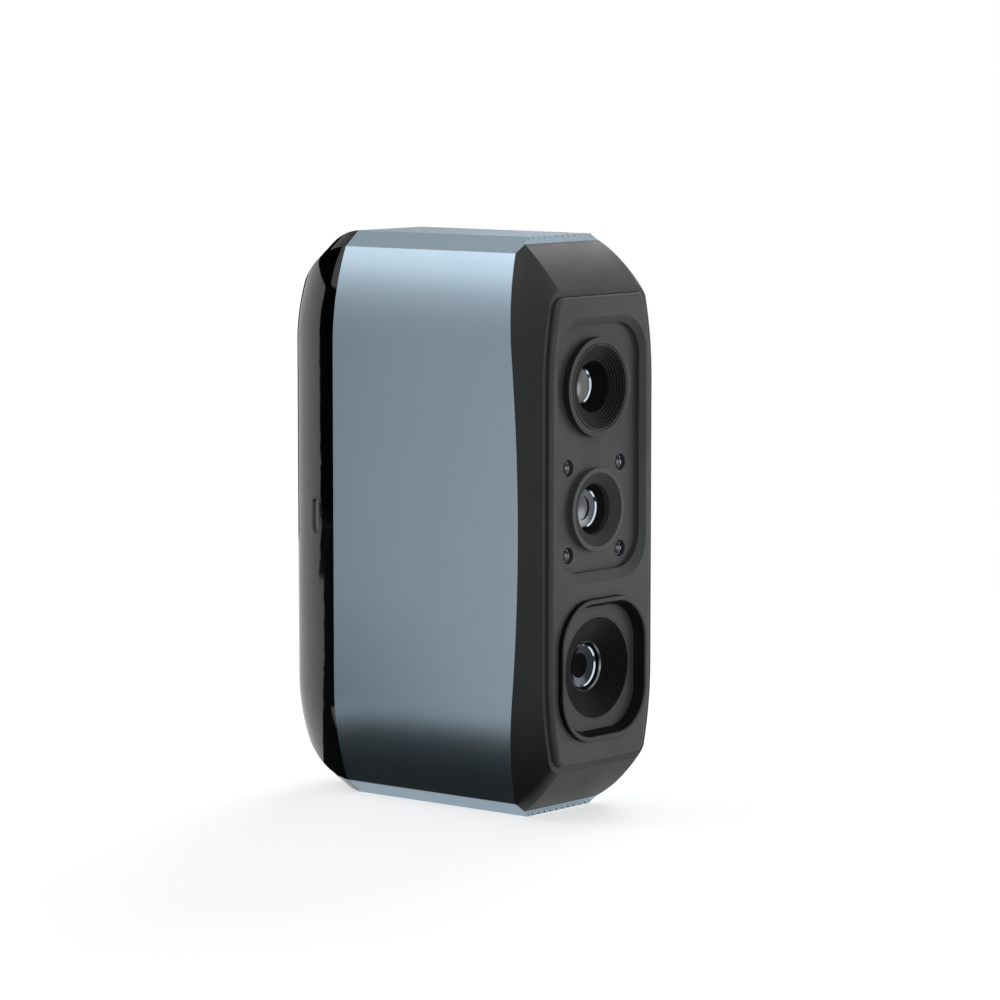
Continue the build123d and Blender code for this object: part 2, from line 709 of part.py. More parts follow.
def back_cover():
    """The rounded cover, with its spigot, the key slot, the port opening and their bosses."""
    spigot_inner = WALL + SPIGOT_FIT + SPIGOT_THICKNESS
    board_bottom = PORT_HEIGHT - PORT_THICKNESS / 2 - BOARD_THICKNESS
    with BuildPart() as cover:
        add(cover_form())
        add(cover_form(WALL), mode=Mode.SUBTRACT)
        add(inside_ring(WALL / 2, spigot_inner, -COVER_SEAM_BACK, SPIGOT_ROOT))
        add(
            inside_ring(
                WALL + SPIGOT_FIT,
                spigot_inner,
                SPIGOT_LENGTH - COVER_SEAM_BACK,
                SPIGOT_LENGTH + SPIGOT_ROOT,
            )
        )
        with BuildSketch(front_plane(-CASE_BACK, PORT_HEIGHT)):
            SlotOverall(PORT_WIDTH + 2 * PORT_GAP, PORT_THICKNESS + 2 * PORT_GAP)
        extrude(amount=2 * WALL, mode=Mode.SUBTRACT)
        with BuildSketch(Plane.XY.offset(board_bottom - PORT_SHELF_THICKNESS)):
            with Locations((0, CASE_BACK - WALL - PORT_BOARD_LENGTH / 2)):
                Rectangle(PORT_BOARD_WIDTH, PORT_BOARD_LENGTH + WALL)
        extrude(amount=PORT_SHELF_THICKNESS)
        with BuildSketch(key_plane(WALL / 2)):
            with Locations((-KEY_BOSS_SPACING / 2, 0), (KEY_BOSS_SPACING / 2, 0)):
                Circle(KEY_BOSS_RADIUS)
        extrude(amount=WALL / 2 - KEY_BOARD_DEPTH)
        with BuildSketch(key_plane(KEY_BOARD_DEPTH)):
            with Locations((-KEY_BOSS_SPACING / 2, 0), (KEY_BOSS_SPACING / 2, 0)):
                Circle(SMALL_SCREW_RADIUS + FIT)
        extrude(amount=KEY_SCREW_LENGTH, mode=Mode.SUBTRACT)
        with BuildSketch(key_plane(-WALL)):
            SlotOverall(KEY_LENGTH + 2 * KEY_GAP, KEY_WIDTH + 2 * KEY_GAP)
        extrude(amount=-(WALL + KEY_FLANGE_DEPTH), mode=Mode.SUBTRACT)
    return cover.part


def lens_panel():
    """The raised panel with its sloped pocket, the lens and lamp holes and the hood's seat."""
    pocket_middle = (POCKET_TOP + POCKET_BOTTOM) / 2
    floor_bottom = POCKET_BOTTOM + POCKET_BOTTOM_SLOPE
    floor_top = POCKET_TOP - POCKET_TOP_SLOPE
    floor_width = POCKET_WIDTH - 2 * POCKET_SIDE_SLOPE
    floor_radius = POCKET_RADIUS - POCKET_SIDE_SLOPE
    lamps = four_places(LED_COLUMN_OFFSET, LED_ROW_OFFSET)
    bosses = [(0, -LED_BOARD_BOSS_OFFSET), (0, LED_BOARD_BOSS_OFFSET)]
    with BuildPart() as panel:
        with BuildSketch(front_plane(PANEL_BACK_FRONT)):
            add(rim_outline(PANEL_INSET))
        extrude(amount=PANEL_THICKNESS)
        fillet(faces().sort_by(Axis.Y)[0].edges(), radius=PANEL_EDGE_RADIUS)
        with BuildSketch(front_plane(PANEL_FRONT, pocket_middle)):
            RectangleRounded(POCKET_WIDTH, POCKET_TOP - POCKET_BOTTOM, POCKET_RADIUS)
        with BuildSketch(front_plane(POCKET_FRONT + POCKET_STEP, (floor_top + floor_bottom) / 2)):
            RectangleRounded(floor_width, floor_top - floor_bottom, floor_radius)
        loft(mode=Mode.SUBTRACT)
        with BuildSketch(front_plane(POCKET_FRONT, (floor_top + floor_bottom) / 2)):
            RectangleRounded(floor_width, floor_top - floor_bottom, floor_radius)
        extrude(amount=POCKET_STEP, mode=Mode.SUBTRACT)
        for height, radius in (
            (UPPER_LENS_HEIGHT, UPPER_BEZEL_RADIUS - BEZEL_SHOULDER + FIT),
            (LOWER_LENS_HEIGHT, LOWER_BEZEL_RADIUS - BEZEL_SHOULDER + FIT),
            (PROJECTOR_HEIGHT, BAFFLE_FLANGE_RADIUS + FIT),
        ):
            with BuildSketch(front_plane(PANEL_BACK_FRONT, height)):
                Circle(radius)
            extrude(amount=PANEL_THICKNESS, mode=Mode.SUBTRACT)
        with BuildSketch(front_plane(HOOD_BACK_FRONT, PROJECTOR_HEIGHT)):
            RectangleRounded(HOOD_WIDTH + 2 * FIT, HOOD_HEIGHT + 2 * FIT, HOOD_RADIUS + FIT)
        extrude(amount=PANEL_THICKNESS, mode=Mode.SUBTRACT)
        with BuildSketch(front_plane(LED_BOARD_FRONT, LED_MIDDLE_HEIGHT)):
            with Locations(*bosses):
                RegularPolygon(LED_BOARD_BOSS_RADIUS, HEXAGON_SIDES)
        extrude(amount=LED_BOARD_GAP)
        with BuildSketch(front_plane(LED_BOARD_FRONT, LED_MIDDLE_HEIGHT)):
            with Locations(*bosses):
                Circle(SMALL_SCREW_RADIUS + FIT)
        extrude(amount=LED_BOARD_GAP, mode=Mode.SUBTRACT)
        with BuildSketch(front_plane(PANEL_BACK_FRONT, LED_MIDDLE_HEIGHT)):
            with Locations(*lamps):
                Circle(LED_WINDOW_RADIUS)
        extrude(amount=PANEL_THICKNESS, mode=Mode.SUBTRACT)
    return panel.part


def panel_seal():
    """The thin adhesive frame between the shelf of the cap and the lens panel."""
    with BuildPart() as seal:
        with BuildSketch(front_plane(SHELF_FRONT)):
            add(rim_outline(PANEL_INSET))
            RectangleRounded(
                SHELF_OPENING_WIDTH,
                HEIGHT - 2 * SHELF_OPENING_DROP,
                SHELF_OPENING_RADIUS,
                mode=Mode.SUBTRACT,
            )
        extrude(amount=SEAL_THICKNESS)
    return seal.part


def bezel(height, radius, proud, mouth, throat, cone_depth, steps, groove_radius=None):
    """A lens bezel: a ring that stands on the pocket floor round a stepped or smooth light cone."""
    front = POCKET_FRONT + proud
    spigot = radius - BEZEL_SHOULDER
    seat = BARREL_RADIUS + BARREL_CLEARANCE
    if steps:
        points = stepped_cone(front, mouth, front - cone_depth, throat, steps)
    else:
        points = [(front, mouth), (front - cone_depth, throat)]
    points += [
        (BARREL_SEAT_FRONT, throat),
        (BARREL_SEAT_FRONT, seat),
        (BEZEL_BACK_FRONT, seat),
        (BEZEL_BACK_FRONT, spigot),
        (POCKET_FRONT, spigot),
        (POCKET_FRONT, radius),
        (front, radius),
    ]
    if groove_radius:
        points += [
            (front, groove_radius),
            (front - GROOVE_DEPTH, groove_radius),
            (front - GROOVE_DEPTH, groove_radius - GROOVE_WIDTH),
            (front, groove_radius - GROOVE_WIDTH),
        ]
    return turned(height, points)


def lens_glass(height, front, radius):
    """A lens element, hollow behind and crowned in front; front is the face of its rim."""
    back = front - GLASS_THICKNESS
    with BuildPart() as glass:
        with BuildSketch(lens_plane(height)):
            with BuildLine():
                TangentArc((back + GLASS_HOLLOW, 0), (back, BARREL_BORE_RADIUS), tangent=(0, 1))
                Polyline((back, BARREL_BORE_RADIUS), (back, radius), (front, radius))
                TangentArc((front + GLASS_CROWN, 0), (front, radius), tangent=(0, 1))
                Line((front + GLASS_CROWN, 0), (back + GLASS_HOLLOW, 0))
            make_face()
        revolve(axis=lens_axis(height))
    return glass.part


def lens_barrel(height, glass_radius, glass_depth):
    """A threaded lens barrel with a flared mouth and a seat for its front glass."""
    front = BARREL_SEAT_FRONT - BARREL_GAP
    seat = glass_radius + FIT
    rim = front - glass_depth
    return turned(
        height,
        [
            (front, seat + BARREL_MOUTH_FLARE),
            (rim, seat),
            (rim - GLASS_THICKNESS, seat),
            (rim - GLASS_THICKNESS, BARREL_BORE_RADIUS),
            (HOLDER_TOP_FRONT, BARREL_BORE_RADIUS),
            (HOLDER_TOP_FRONT, BARREL_RADIUS),
            (front, BARREL_RADIUS),
        ],
    )


def camera(name, height, glass_radius, glass_depth):
    """One camera behind its bezel: glass, barrel, holder, board and sensor."""
    with BuildPart() as holder:
        with BuildSketch(front_plane(CAMERA_BOARD_FRONT, height)):
            RectangleRounded(HOLDER_SIZE, HOLDER_SIZE, HOLDER_WALL)
        extrude(amount=HOLDER_BASE_HEIGHT)
        with BuildSketch(front_plane(HOLDER_TOP_FRONT, height)):
            Circle(BARREL_RADIUS + FIT + HOLDER_TUBE_WALL)
        extrude(amount=HOLDER_TUBE_LENGTH)
        with BuildSketch(front_plane(CAMERA_BOARD_FRONT, height)):
            Rectangle(HOLDER_SIZE - 2 * HOLDER_WALL, HOLDER_SIZE - 2 * HOLDER_WALL)
        extrude(amount=HOLDER_BASE_HEIGHT - HOLDER_WALL / 2, mode=Mode.SUBTRACT)
        with BuildSketch(front_plane(CAMERA_BOARD_FRONT, height)):
            Circle(BARREL_RADIUS + FIT)
        extrude(amount=HOLDER_BASE_HEIGHT + HOLDER_TUBE_LENGTH, mode=Mode.SUBTRACT)
    with BuildPart() as board:
        with BuildSketch(front_plane(CAMERA_BOARD_FRONT - BOARD_THICKNESS, height)):
            Rectangle(CAMERA_BOARD_SIZE, CAMERA_BOARD_SIZE)
            with Locations(*four_places(CAMERA_SCREW_OFFSET, CAMERA_SCREW_OFFSET)):
                Circle(SMALL_SCREW_RADIUS + 2 * FIT, mode=Mode.SUBTRACT)
        extrude(amount=BOARD_THICKNESS)
    with BuildPart() as sensor:
        with BuildSketch(front_plane(CAMERA_BOARD_FRONT, height)):
            Rectangle(SENSOR_SIZE, SENSOR_SIZE)
        extrude(amount=SENSOR_THICKNESS)
    glass_front = BARREL_SEAT_FRONT - BARREL_GAP - glass_depth
    return {
        f"{name}_lens_glass": lens_glass(height, glass_front, glass_radius),
        f"{name}_lens_barrel": lens_barrel(height, glass_radius, glass_depth),
        f"{name}_lens_holder": holder.part,
        f"{name}_camera_board": board.part,
        f"{name}_image_sensor": sensor.part,
    }


def lamps():
    """The four lighting diodes round the lower lens and the board that carries them."""
    places = four_places(LED_COLUMN_OFFSET, LED_ROW_OFFSET)
    top = POCKET_FRONT - LED_RECESS
    with BuildPart() as diodes:
        with BuildSketch(front_plane(LED_BOARD_FRONT, LED_MIDDLE_HEIGHT)):
            with Locations(*places):
                Circle(LED_FLANGE_RADIUS)
        extrude(amount=LED_FLANGE_THICKNESS)
        with BuildSketch(front_plane(LED_BOARD_FRONT, LED_MIDDLE_HEIGHT)):
            with Locations(*places):
                Circle(LED_RADIUS)
        extrude(amount=top - LED_RADIUS - LED_BOARD_FRONT)
        with Locations(front_plane(top - LED_RADIUS, LED_MIDDLE_HEIGHT)):
            with Locations(*places):
                Sphere(LED_RADIUS)
    with BuildPart() as board:
        with BuildSketch(front_plane(LED_BOARD_FRONT - BOARD_THICKNESS, LED_MIDDLE_HEIGHT)):
            Rectangle(LED_BOARD_WIDTH, LED_BOARD_HEIGHT)
            with Locations((0, LOWER_LENS_HEIGHT - LED_MIDDLE_HEIGHT)):
                Circle(LED_BOARD_HOLE_RADIUS, mode=Mode.SUBTRACT)
            with Locations((0, -LED_BOARD_BOSS_OFFSET), (0, LED_BOARD_BOSS_OFFSET)):
                Circle(SMALL_SCREW_RADIUS + 2 * FIT, mode=Mode.SUBTRACT)
        extrude(amount=BOARD_THICKNESS)
    return {"lighting_diodes": diodes.part, "lighting_board": board.part}


def projector():
    """The projector: hood, stepped baffle, lens with its bright rim, engine, lamp and heat sink."""
    with BuildPart() as hood:
        with BuildSketch(front_plane(HOOD_BACK_FRONT, PROJECTOR_HEIGHT)):
            RectangleRounded(HOOD_WIDTH, HOOD_HEIGHT, HOOD_RADIUS)
        extrude(amount=HOOD_FRONT - HOOD_BACK_FRONT)
        for front, inset in (
            (HOOD_FRONT, HOOD_LIP),
            (HOOD_FLOOR_FRONT, HOOD_LIP + HOOD_SLOPE),
        ):
            with BuildSketch(front_plane(front, PROJECTOR_HEIGHT)):
                RectangleRounded(
                    HOOD_WIDTH - 2 * inset, HOOD_HEIGHT - 2 * inset, HOOD_RADIUS - inset
                )
        loft(mode=Mode.SUBTRACT)
        chamfer(faces().sort_by(Axis.Y)[0].edges(), length=HOOD_CHAMFER)
        with BuildSketch(front_plane(HOOD_BACK_FRONT, PROJECTOR_HEIGHT)):
            Circle(BAFFLE_RADIUS + FIT)
        extrude(amount=HOOD_FLOOR, mode=Mode.SUBTRACT)
    cone = stepped_cone(
        HOOD_FLOOR_FRONT,
        BAFFLE_RADIUS - BAFFLE_LIP,
        BAFFLE_THROAT_FRONT,
        BAFFLE_THROAT_RADIUS,
        BAFFLE_STEPS,
    )
    flange_back = HOOD_BACK_FRONT - BAFFLE_FLANGE_THICKNESS
    baffle = turned(
        PROJECTOR_HEIGHT,
        cone
        + [
            (BAFFLE_BACK_FRONT, BAFFLE_THROAT_RADIUS),
            (BAFFLE_BACK_FRONT, BAFFLE_THROAT_RADIUS + BAFFLE_WALL),
            (flange_back, BAFFLE_RADIUS),
            (flange_back, BAFFLE_FLANGE_RADIUS),
            (HOOD_BACK_FRONT, BAFFLE_FLANGE_RADIUS),
            (HOOD_BACK_FRONT, BAFFLE_RADIUS),
            (HOOD_FLOOR_FRONT, BAFFLE_RADIUS),
        ],
    )
    rim_radius = BAFFLE_THROAT_RADIUS - FIT
    rim = turned(
        PROJECTOR_HEIGHT,
        [
            (BAFFLE_BACK_FRONT, rim_radius - PROJECTOR_RIM_WIDTH),
            (BAFFLE_BACK_FRONT, rim_radius),
            (BAFFLE_THROAT_FRONT, rim_radius),
            (BAFFLE_THROAT_FRONT, rim_radius - PROJECTOR_RIM_WIDTH),
        ],
    )
    seat = PROJECTOR_GLASS_RADIUS + FIT
    barrel = turned(
        PROJECTOR_HEIGHT,
        [
            (BAFFLE_BACK_FRONT, seat),
            (BAFFLE_BACK_FRONT - GLASS_THICKNESS, seat),
            (BAFFLE_BACK_FRONT - GLASS_THICKNESS, BARREL_BORE_RADIUS),
            (ENGINE_FRONT - ENGINE_WALL, BARREL_BORE_RADIUS),
            (ENGINE_FRONT - ENGINE_WALL, PROJECTOR_BARREL_RADIUS),
            (BAFFLE_BACK_FRONT, PROJECTOR_BARREL_RADIUS),
        ],
    )
    with BuildPart() as engine:
        with BuildSketch(front_plane(BENCH_FRONT, PROJECTOR_HEIGHT)):
            RectangleRounded(ENGINE_SIZE, ENGINE_SIZE, ENGINE_WALL)
        extrude(amount=ENGINE_DEPTH)
        with BuildSketch(front_plane(ENGINE_FRONT, PROJECTOR_HEIGHT)):
            Circle(ENGINE_TUBE_RADIUS)
        extrude(amount=ENGINE_TUBE_LENGTH)
        with BuildSketch(front_plane(BENCH_FRONT, PROJECTOR_HEIGHT)):
            Rectangle(ENGINE_SIZE - 2 * ENGINE_WALL, ENGINE_SIZE - 2 * ENGINE_WALL)
        extrude(amount=ENGINE_DEPTH - ENGINE_WALL, mode=Mode.SUBTRACT)
        with BuildSketch(front_plane(BENCH_FRONT, PROJECTOR_HEIGHT)):
            Circle(PROJECTOR_BARREL_RADIUS + FIT)
        extrude(amount=ENGINE_DEPTH + ENGINE_TUBE_LENGTH, mode=Mode.SUBTRACT)
    with BuildPart() as board:
        with BuildSketch(front_plane(BENCH_FRONT, PROJECTOR_HEIGHT)):
            Rectangle(LIGHT_BOARD_SIZE, LIGHT_BOARD_SIZE)
        extrude(amount=BOARD_THICKNESS)
    with BuildPart() as emitter:
        with BuildSketch(front_plane(BENCH_FRONT + BOARD_THICKNESS, PROJECTOR_HEIGHT)):
            Rectangle(EMITTER_SIZE, EMITTER_SIZE)
        extrude(amount=EMITTER_THICKNESS)
    fin_pitch = (ENGINE_SIZE - SINK_FIN_THICKNESS) / (SINK_FINS - 1)
    with BuildPart() as sink:
        with BuildSketch(front_plane(BENCH_BACK_FRONT, PROJECTOR_HEIGHT)):
            Rectangle(ENGINE_SIZE, ENGINE_SIZE)
        extrude(amount=-SINK_BASE)
        with BuildSketch(front_plane(BENCH_BACK_FRONT, PROJECTOR_HEIGHT)):
            with GridLocations(fin_pitch, 0, SINK_FINS, 1):
                Rectangle(SINK_FIN_THICKNESS, ENGINE_SIZE)
        extrude(amount=-SINK_DEPTH)
    return {
        "projector_hood": hood.part,
        "projector_baffle": baffle,
        "projector_lens_rim": rim,
        "projector_lens_glass": lens_glass(PROJECTOR_HEIGHT, BAFFLE_BACK_FRONT, PROJECTOR_GLASS_RADIUS),
        "projector_lens_barrel": barrel,
        "projector_engine": engine.part,
        "projector_lamp_board": board.part,
        "projector_lamp": emitter.part,
        "projector_heat_sink": sink.part,
    }


def optical_bench():
    """The rigid plate that holds cameras and projector in line, with posts for the main board."""
    posts = [
        (x, z - HEIGHT / 2)
        for x in (-POST_OFFSET, POST_OFFSET)
        for z in (MAIN_BOARD_BOTTOM + POST_INSET, MAIN_BOARD_TOP - POST_INSET)
    ]
    pads = [
        (x, y + lens - HEIGHT / 2)
        for lens in (LOWER_LENS_HEIGHT, UPPER_LENS_HEIGHT)
        for x, y in four_places(CAMERA_SCREW_OFFSET, CAMERA_SCREW_OFFSET)
    ]
    with BuildPart() as bench:
        with BuildSketch(front_plane(BENCH_BACK_FRONT)):
            Rectangle(BENCH_WIDTH, HEIGHT - 2 * BENCH_DROP)
            chamfer(vertices(), length=BENCH_CORNER)
            with Locations(*four_places(BOSS_OFFSET, HEIGHT / 2 - BOSS_DROP)):
                Circle(SCREW_RADIUS + 2 * FIT, mode=Mode.SUBTRACT)
        extrude(amount=BENCH_THICKNESS)
        with BuildSketch(front_plane(BENCH_FRONT)):
            with Locations(*pads):
                RegularPolygon(STANDOFF_RADIUS, HEXAGON_SIDES)
        extrude(amount=STANDOFF_LENGTH)
        with BuildSketch(front_plane(BENCH_FRONT)):
            with Locations(*pads):
                Circle(SMALL_SCREW_RADIUS + FIT)
        extrude(amount=STANDOFF_LENGTH, mode=Mode.SUBTRACT)
        with BuildSketch(front_plane(BENCH_BACK_FRONT)):
            with Locations(*posts):
                RegularPolygon(POST_RADIUS, HEXAGON_SIDES)
        extrude(amount=-(BENCH_BACK_FRONT + MAIN_BOARD_BACK))
        with BuildSketch(front_plane(-MAIN_BOARD_BACK)):
            with Locations(*posts):
                Circle(SMALL_SCREW_RADIUS + FIT)
        extrude(amount=SCREW_LENGTH, mode=Mode.SUBTRACT)
    return bench.part


def main_board():
    """The processor board on the bench's posts, with its shield and a row of connectors."""
    height = MAIN_BOARD_TOP - MAIN_BOARD_BOTTOM
    middle = (MAIN_BOARD_TOP + MAIN_BOARD_BOTTOM) / 2
    holes = four_places(POST_OFFSET, height / 2 - POST_INSET)
    face = MAIN_BOARD_BACK + BOARD_THICKNESS
    with BuildPart() as board:
        with BuildSketch(back_plane(MAIN_BOARD_BACK, middle)):
            Rectangle(MAIN_BOARD_WIDTH, height)
            with Locations(*holes):
                Circle(SMALL_SCREW_RADIUS + 2 * FIT, mode=Mode.SUBTRACT)
        extrude(amount=BOARD_THICKNESS)
    with BuildPart() as shield:
        with BuildSketch(back_plane(face, middle)):
            RectangleRounded(SHIELD_SIZE, SHIELD_SIZE, 2 * SHIELD_WALL)
        extrude(amount=SHIELD_THICKNESS)
        offset(amount=-SHIELD_WALL, openings=faces().sort_by(Axis.Y)[0])
    with BuildPart() as connectors:
        with BuildSketch(back_plane(face, middle - SHIELD_SIZE)):
            with GridLocations(0, CONNECTOR_SPACING, 1, 2):
                Rectangle(CONNECTOR_LENGTH, CONNECTOR_WIDTH)
        extrude(amount=CONNECTOR_THICKNESS)
    return {
        "main_board": board.part,
        "processor_shield": shield.part,
        "board_connectors": connectors.part,
        "main_board_screws": screws(
            holes,
            back_plane(face, middle),
            SMALL_SCREW_RADIUS,
            SMALL_SCREW_HEAD_RADIUS,
            SMALL_SCREW_HEAD_THICKNESS,
            SCREW_LENGTH - BOARD_THICKNESS,
        ),
    }


def power_key():
    """The press key: a dished cap flush with the cover, a flange that keeps it in and a stem."""
    with BuildPart() as key:
        with BuildSketch(key_plane(KEY_FLANGE_DEPTH)):
            SlotOverall(KEY_LENGTH, KEY_WIDTH)
        extrude(amount=KEY_FLANGE_DEPTH - KEY_SUNK)
        with BuildSketch(key_plane(KEY_SUNK)):
            SlotOverall(KEY_LENGTH - 2 * KEY_DISH_RIM, KEY_WIDTH - 2 * KEY_DISH_RIM)
        extrude(amount=-KEY_DISH_DEPTH, taper=KEY_DISH_SLOPE, mode=Mode.SUBTRACT)
        with BuildSketch(key_plane(KEY_FLANGE_DEPTH)):
            SlotOverall(KEY_FLANGE_LENGTH, KEY_FLANGE_WIDTH)
        extrude(amount=-KEY_FLANGE_THICKNESS)
        with BuildSketch(key_plane(KEY_FLANGE_DEPTH)):
            Circle(KEY_STEM_RADIUS)
        extrude(amount=KEY_FLANGE_DEPTH - KEY_STEM_DEPTH)
    return key.part


def key_switch():
    """The switch behind the key: its plunger, its body and the small board on the cover's bosses."""
    with BuildPart() as plunger:
        with BuildSketch(key_plane(KEY_STEM_DEPTH)):
            Circle(PLUNGER_RADIUS)
        extrude(amount=-PLUNGER_LENGTH)
    with BuildPart() as body:
        with BuildSketch(key_plane(KEY_BOARD_DEPTH)):
            Rectangle(SWITCH_SIZE, SWITCH_SIZE)
        extrude(amount=SWITCH_THICKNESS)
        with BuildSketch(key_plane(KEY_BOARD_DEPTH - SWITCH_THICKNESS)):
            Circle(PLUNGER_RADIUS + 2 * FIT)
        extrude(amount=-(PLUNGER_LENGTH - PLUNGER_PROUD + KEY_TRAVEL + FIT), mode=Mode.SUBTRACT)
    places = [(-KEY_BOSS_SPACING / 2, 0), (KEY_BOSS_SPACING / 2, 0)]
    with BuildPart() as board:
        with BuildSketch(key_plane(KEY_BOARD_DEPTH)):
            RectangleRounded(KEY_BOARD_LENGTH, KEY_BOARD_WIDTH, KEY_BOARD_THICKNESS)
            with Locations(*places):
                Circle(SMALL_SCREW_RADIUS + 2 * FIT, mode=Mode.SUBTRACT)
        extrude(amount=-KEY_BOARD_THICKNESS)
    behind = key_plane(KEY_BOARD_DEPTH + KEY_BOARD_THICKNESS)
    screw_plane = Plane(behind.origin, x_dir=behind.x_dir, z_dir=-behind.z_dir)
    return {
        "switch_plunger": plunger.part,
        "switch_body": body.part,
        "key_board": board.part,
        "key_board_screws": screws(
            places,
            screw_plane,
            SMALL_SCREW_RADIUS,
            SMALL_SCREW_HEAD_RADIUS,
            SMALL_SCREW_HEAD_THICKNESS,
            KEY_SCREW_LENGTH,
        ),
    }


def usb_port():
    """The USB-C socket with its tongue, standing on a small board on the cover's shelf."""
    face = CASE_BACK - PORT_RECESS
    board_bottom = PORT_HEIGHT - PORT_THICKNESS / 2 - BOARD_THICKNESS
    with BuildPart() as socket:
        with BuildSketch(back_plane(face, PORT_HEIGHT)):
            SlotOverall(PORT_WIDTH, PORT_THICKNESS)
        extrude(amount=-PORT_LENGTH)
        with BuildSketch(back_plane(face, PORT_HEIGHT)):
            SlotOverall(PORT_WIDTH - 2 * PORT_WALL, PORT_THICKNESS - 2 * PORT_WALL)
        extrude(amount=PORT_FLOOR - PORT_LENGTH, mode=Mode.SUBTRACT)
        with BuildSketch(back_plane(face - PORT_LENGTH, PORT_HEIGHT)):
            Rectangle(PORT_TONGUE_WIDTH, PORT_TONGUE_THICKNESS)
        extrude(amount=PORT_FLOOR + PORT_TONGUE_LENGTH)
    with BuildPart() as board:
        with BuildSketch(Plane.XY.offset(board_bottom)):
            with Locations((0, CASE_BACK - WALL - PORT_BOARD_LENGTH / 2)):
                Rectangle(PORT_BOARD_WIDTH, PORT_BOARD_LENGTH)
        extrude(amount=BOARD_THICKNESS)
    return {"usb_socket": socket.part, "usb_board": board.part}


def tripod_insert():
    """The tripod insert, pulled down onto the sleeve's end wall by its flange."""
    with BuildPart() as insert:
        with BuildSketch(Plane.XY):
            Circle(INSERT_RADIUS)
        extrude(amount=INSERT_TOP)
        with BuildSketch(Plane.XY.offset(WALL)):
            Circle(INSERT_FLANGE_RADIUS)
        extrude(amount=INSERT_FLANGE_THICKNESS)
        with BuildSketch(Plane.XY):
            Circle(TRIPOD_RADIUS)
        extrude(amount=TRIPOD_DEPTH, mode=Mode.SUBTRACT)
    return insert.part


def camera_screws():
    """The eight screws that hold both camera boards on the bench's pads."""
    places = [
        (x, y + lens - HEIGHT / 2)
        for lens in (LOWER_LENS_HEIGHT, UPPER_LENS_HEIGHT)
        for x, y in four_places(CAMERA_SCREW_OFFSET, CAMERA_SCREW_OFFSET)
    ]
    return screws(
        places,
        front_plane(CAMERA_BOARD_FRONT),
        SMALL_SCREW_RADIUS,
        SMALL_SCREW_HEAD_RADIUS,
        SMALL_SCREW_HEAD_THICKNESS,
        BOARD_THICKNESS + STANDOFF_LENGTH,
    )


def lighting_board_screws():
    """The two screws that hold the lighting board on the lens panel's bosses."""
    return screws(
        [(0, -LED_BOARD_BOSS_OFFSET), (0, LED_BOARD_BOSS_OFFSET)],
        back_plane(BOARD_THICKNESS - LED_BOARD_FRONT, LED_MIDDLE_HEIGHT),
        SMALL_SCREW_RADIUS,
        SMALL_SCREW_HEAD_RADIUS,
        SMALL_SCREW_HEAD_THICKNESS,
        BOARD_THICKNESS + LED_BOARD_GAP,
    )


def bench_screws():
    """The four screws that hold the bench on the bosses of the front cap."""
    return screws(
        four_places(BOSS_OFFSET, HEIGHT / 2 - BOSS_DROP),
        back_plane(-BENCH_BACK_FRONT),
        SCREW_RADIUS,
        SCREW_HEAD_RADIUS,
        SCREW_HEAD_THICKNESS,
        SCREW_LENGTH,
    )


def scanner():
    """All the pieces of the scanner by name."""
    with BuildPart() as form:
        add(body_form())
        add(cap_form())
    outer = form.part
    inner = body_form(WALL)
    return {
        "sleeve": sleeve_piece(outer, inner),
        **end_plates(outer),
        "front_cap": front_cap(outer),
        "back_cover": back_cover(),
        "lens_panel": lens_panel(),
        "panel_seal": panel_seal(),
        "upper_lens_bezel": bezel(
            UPPER_LENS_HEIGHT,
            UPPER_BEZEL_RADIUS,
            UPPER_BEZEL_PROUD,
            UPPER_MOUTH_RADIUS,
            UPPER_THROAT_RADIUS,
            UPPER_CONE_DEPTH,
            UPPER_CONE_STEPS,
            UPPER_GROOVE_RADIUS,
        ),
        "lower_lens_bezel": bezel(
            LOWER_LENS_HEIGHT,
            LOWER_BEZEL_RADIUS,
            LOWER_BEZEL_PROUD,
            LOWER_MOUTH_RADIUS,
            LOWER_THROAT_RADIUS,
            LOWER_CONE_DEPTH,
            0,
        ),
        **camera("upper", UPPER_LENS_HEIGHT, UPPER_GLASS_RADIUS, UPPER_GLASS_DEPTH),
        **camera("lower", LOWER_LENS_HEIGHT, LOWER_GLASS_RADIUS, LOWER_GLASS_DEPTH),
        "camera_screws": camera_screws(),
        **lamps(),
        "lighting_board_screws": lighting_board_screws(),
        **projector(),
        "optical_bench": optical_bench(),
        "bench_screws": bench_screws(),
        **main_board(),
        "power_key": power_key(),
        **key_switch(),
        **usb_port(),
        "tripod_insert": tripod_insert(),
    }


os.makedirs("parts", exist_ok=True)
for name, piece in scanner().items():
    piece.label = name
    export_step(piece, f"parts/{name}.step")
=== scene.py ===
"""Looks of a small structured-light 3D scanner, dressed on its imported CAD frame."""

import json
import logging
import math
from dataclasses import dataclass
from enum import Enum

import bpy
from mathutils import Matrix, Vector

